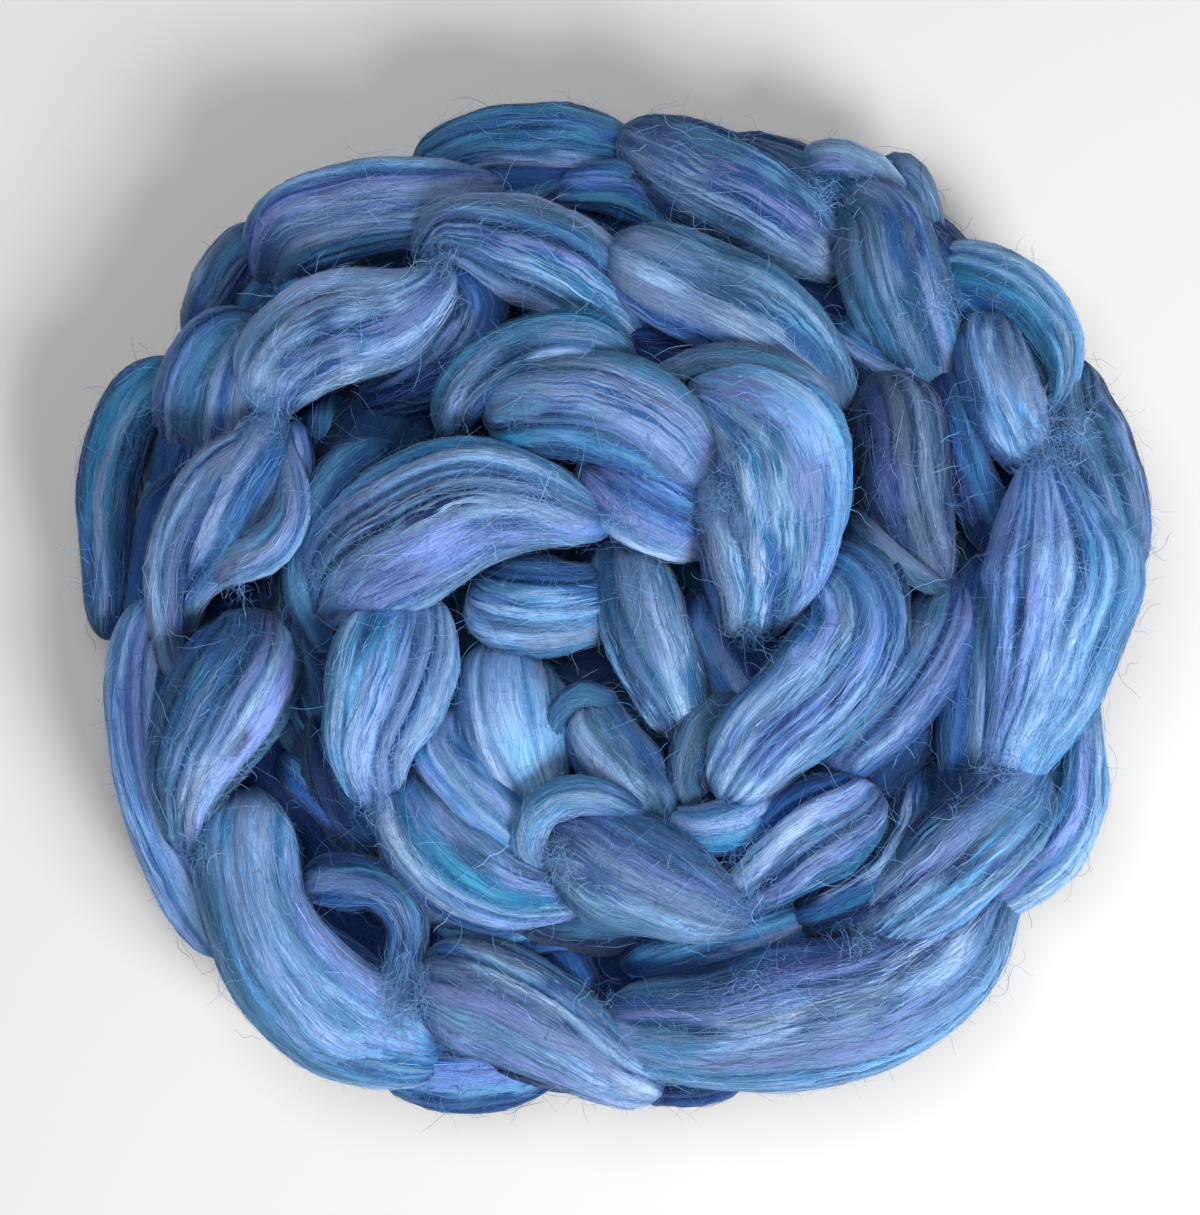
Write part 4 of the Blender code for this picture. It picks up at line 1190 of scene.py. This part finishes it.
def on_clock(clock, share):
    """The plan point at this hour of the clock face, and at this share of the nest's reach."""
    angle = math.tau * clock / 12
    hour = math.floor(clock)
    ease = (1 - math.cos(math.pi * (clock - hour))) / 2
    reach = mixed(CLOCK_REACH[hour % 12], CLOCK_REACH[(hour + 1) % 12], ease) * share
    return CLOCK_CENTRE[0] + reach * math.sin(angle), CLOCK_CENTRE[1] - reach * math.cos(angle)


def hidden_ring(index, lightness_and_painted_light, coarseness, count, share, width, crest):
    """A ring of fat locks, each climbing from low inside the ring to high outside it."""
    chance = np.random.default_rng(HIDDEN_SEED + index)
    locks = []
    for number in range(count):
        clock = 12 * (number + 0.5 * index) / count
        stations = []
        for side in (-1, 0, 1):
            turned = clock + side * 12 / count * HIDDEN_LOCK_OVERLAP / 2
            x, y = on_clock(turned, share + side * HIDDEN_LOCK_SLANT)
            own_width = width * HIDDEN_END_WIDTH if side else width
            stations.append((x, y, own_width, crest + side * HIDDEN_LOCK_CLIMB))
        name = f"hidden_{index}_{number:02d}"
        tones = " ".join(chance.choice(HIDDEN_SHADED_TONES, TONES_ON_HIDDEN))
        locks.append(Lock(name, lightness_and_painted_light, tones, stations, HIDDEN_PLUMPNESS, coarseness))
    return locks


def make_bed(material):
    """The low heap of inner turns that the locks lie on, painted deep navy as the shade between them."""
    points, corners, shares = [], [], []
    for height, spread in BED_PROFILE:
        for side in range(BED_SIDES):
            across, up, _, _ = station_in_metres((*on_clock(side * 12 / BED_SIDES, spread), 0, height))
            points.append((across, up, max(height * MM, 0)))
    for ring in range(len(BED_PROFILE) - 1):
        for side in range(BED_SIDES):
            for place, level in ((side, ring), (side + 1, ring), (side + 1, ring + 1), (side, ring + 1)):
                corners.append(level * BED_SIDES + place % BED_SIDES)
                shares.append((place, level))
    shares = np.array(shares) / (BED_SIDES, len(BED_PROFILE) - 1)
    painted_dark = np.tile(DYES["navy"] * BED_PAINTED_SHADE, (len(points), 1))
    sizes = np.full(len(corners) // 4, 4)
    new_piece("inner_turns", points, corners, sizes, shares, shares * BED_LIE, painted_dark, painted_dark, material)


def fur(locks, hidden, material):
    """The fibres laid on the locks, with fewer on the hidden ones, in pieces of many thousand each."""
    furred = locks + hidden
    area = np.array([lock.length * lock.girth for lock in furred])
    area[len(locks):] *= HIDDEN_FUR
    for name, total, *shape in FIBRE_KINDS:
        chance = np.random.default_rng(len(name) * FIBRE_SEED)
        counts = np.round(total * area / area.sum()).astype(int)
        batch, held, number = [], 0, 0
        for lock, count in zip(furred, counts):
            batch.append(fibre_arrays(lock, max(int(count), FEWEST_FIBRES), shape, chance))
            held += len(batch[-1][0])
            if held > FIBRES_A_PIECE or lock is furred[-1]:
                make_fibres(f"{name}_fibres_{number}", batch, material)
                batch, held, number = [], 0, number + 1


def cross(locks, material):
    """The fibres that cross the locks, the tangles at the pinches and the frayed tip, as one piece."""
    relief, rim = relief_of(locks)
    chance = np.random.default_rng(CROSSING_SEED)
    high = np.argwhere(relief > CROSSING_FLOOR)
    cells = high[chance.integers(0, len(high), CROSSING_FIBRES)]
    over = (cells + chance.uniform(0, 1, cells.shape) - RELIEF_SIDE / 2) * RELIEF_CELL
    lots = [crossing_arrays(relief, rim, over, CROSSING_SHAPE, chance)]
    for shape, tufts in ((TANGLE_SHAPE, TANGLES), (FRAYED_SHAPE, FRAYED_TIP)):
        for x, y, reach, count, *fan in tufts:
            centre = np.array(station_in_metres((x, y, 0, TANGLE_LEVEL))[:2])
            over = centre + chance.normal(0, reach / 2 * MM, (count, 2))
            lots.append(crossing_arrays(relief, rim, over, shape, chance, *fan))
    make_fibres("crossing_fibres", lots, material)


def make_nest():
    combed = combed_wool()
    loose = loose_fibre()
    locks = []
    for coil, rows in (("outer", OUTER_COIL), ("middle", MIDDLE_COIL), ("top", TOP_COIL)):
        for name, lightness_and_painted_light, tones, *stations in rows:
            locks.append(Lock(f"{coil}_{name}", lightness_and_painted_light, tones, stations))
    for lock in locks:
        make_skin(lock.name, [lock], combed)
    turns = {}
    for index, (name, *ring) in enumerate(HIDDEN_RINGS):
        turns.setdefault(name, []).extend(hidden_ring(index, *ring))
    for name, ring in turns.items():
        make_skin(name, ring, combed)
    make_bed(combed)
    hidden = [lock for ring in turns.values() for lock in ring]
    fur(locks, hidden, loose)
    cross(locks + hidden, loose)


def make_studio():
    scene = bpy.context.scene
    scene.view_settings.view_transform = "Standard"

    def placed(name, data, place):
        thing = bpy.data.objects.new(name, data)
        thing.location = place
        scene.collection.objects.link(thing)
        return thing

    eye = bpy.data.cameras.new("eye")
    eye.sensor_fit = "HORIZONTAL"
    eye.sensor_width = SENSOR
    eye.lens = SENSOR * EYE_ABOVE_LEVEL / (PLAN_WIDTH * PLAN_STEP)
    scene.camera = placed("eye", eye, (-NEST_MIDDLE[0], -NEST_MIDDLE[1], EYE_ABOVE_LEVEL + PLAN_LEVEL))

    mesh = bpy.data.meshes.new("floor")
    reach = FLOOR_REACH
    corners = [(-reach, -reach, 0), (reach, -reach, 0), (reach, reach, 0), (-reach, reach, 0)]
    mesh.from_pydata(corners, [], [(0, 1, 2, 3)])
    plain = bpy.data.materials.new("plain_floor")
    plain.use_nodes = True
    plain.node_tree.nodes["Principled BSDF"].inputs["Base Color"].default_value = FLOOR_TONE
    plain.node_tree.nodes["Principled BSDF"].inputs["Roughness"].default_value = FLOOR_ROUGHNESS
    mesh.materials.append(plain)
    floor = placed("floor", mesh, (0, 0, 0))

    world = bpy.data.worlds.new("soft_room")
    world.use_nodes = True
    world.node_tree.nodes["Background"].inputs["Color"].default_value = ROOM_TONE
    world.node_tree.nodes["Background"].inputs["Strength"].default_value = ROOM_STRENGTH
    scene.world = world
    for name, place, size, power in LAMPS:
        lamp = bpy.data.lights.new(name, "AREA")
        lamp.shape = "DISK"
        lamp.size = size
        lamp.energy = power
        holder = placed(name, lamp, place)
        holder.rotation_mode = "QUATERNION"
        holder.rotation_quaternion = (-Vector(place)).to_track_quat("-Z", "Y")


make_nest()
make_studio()
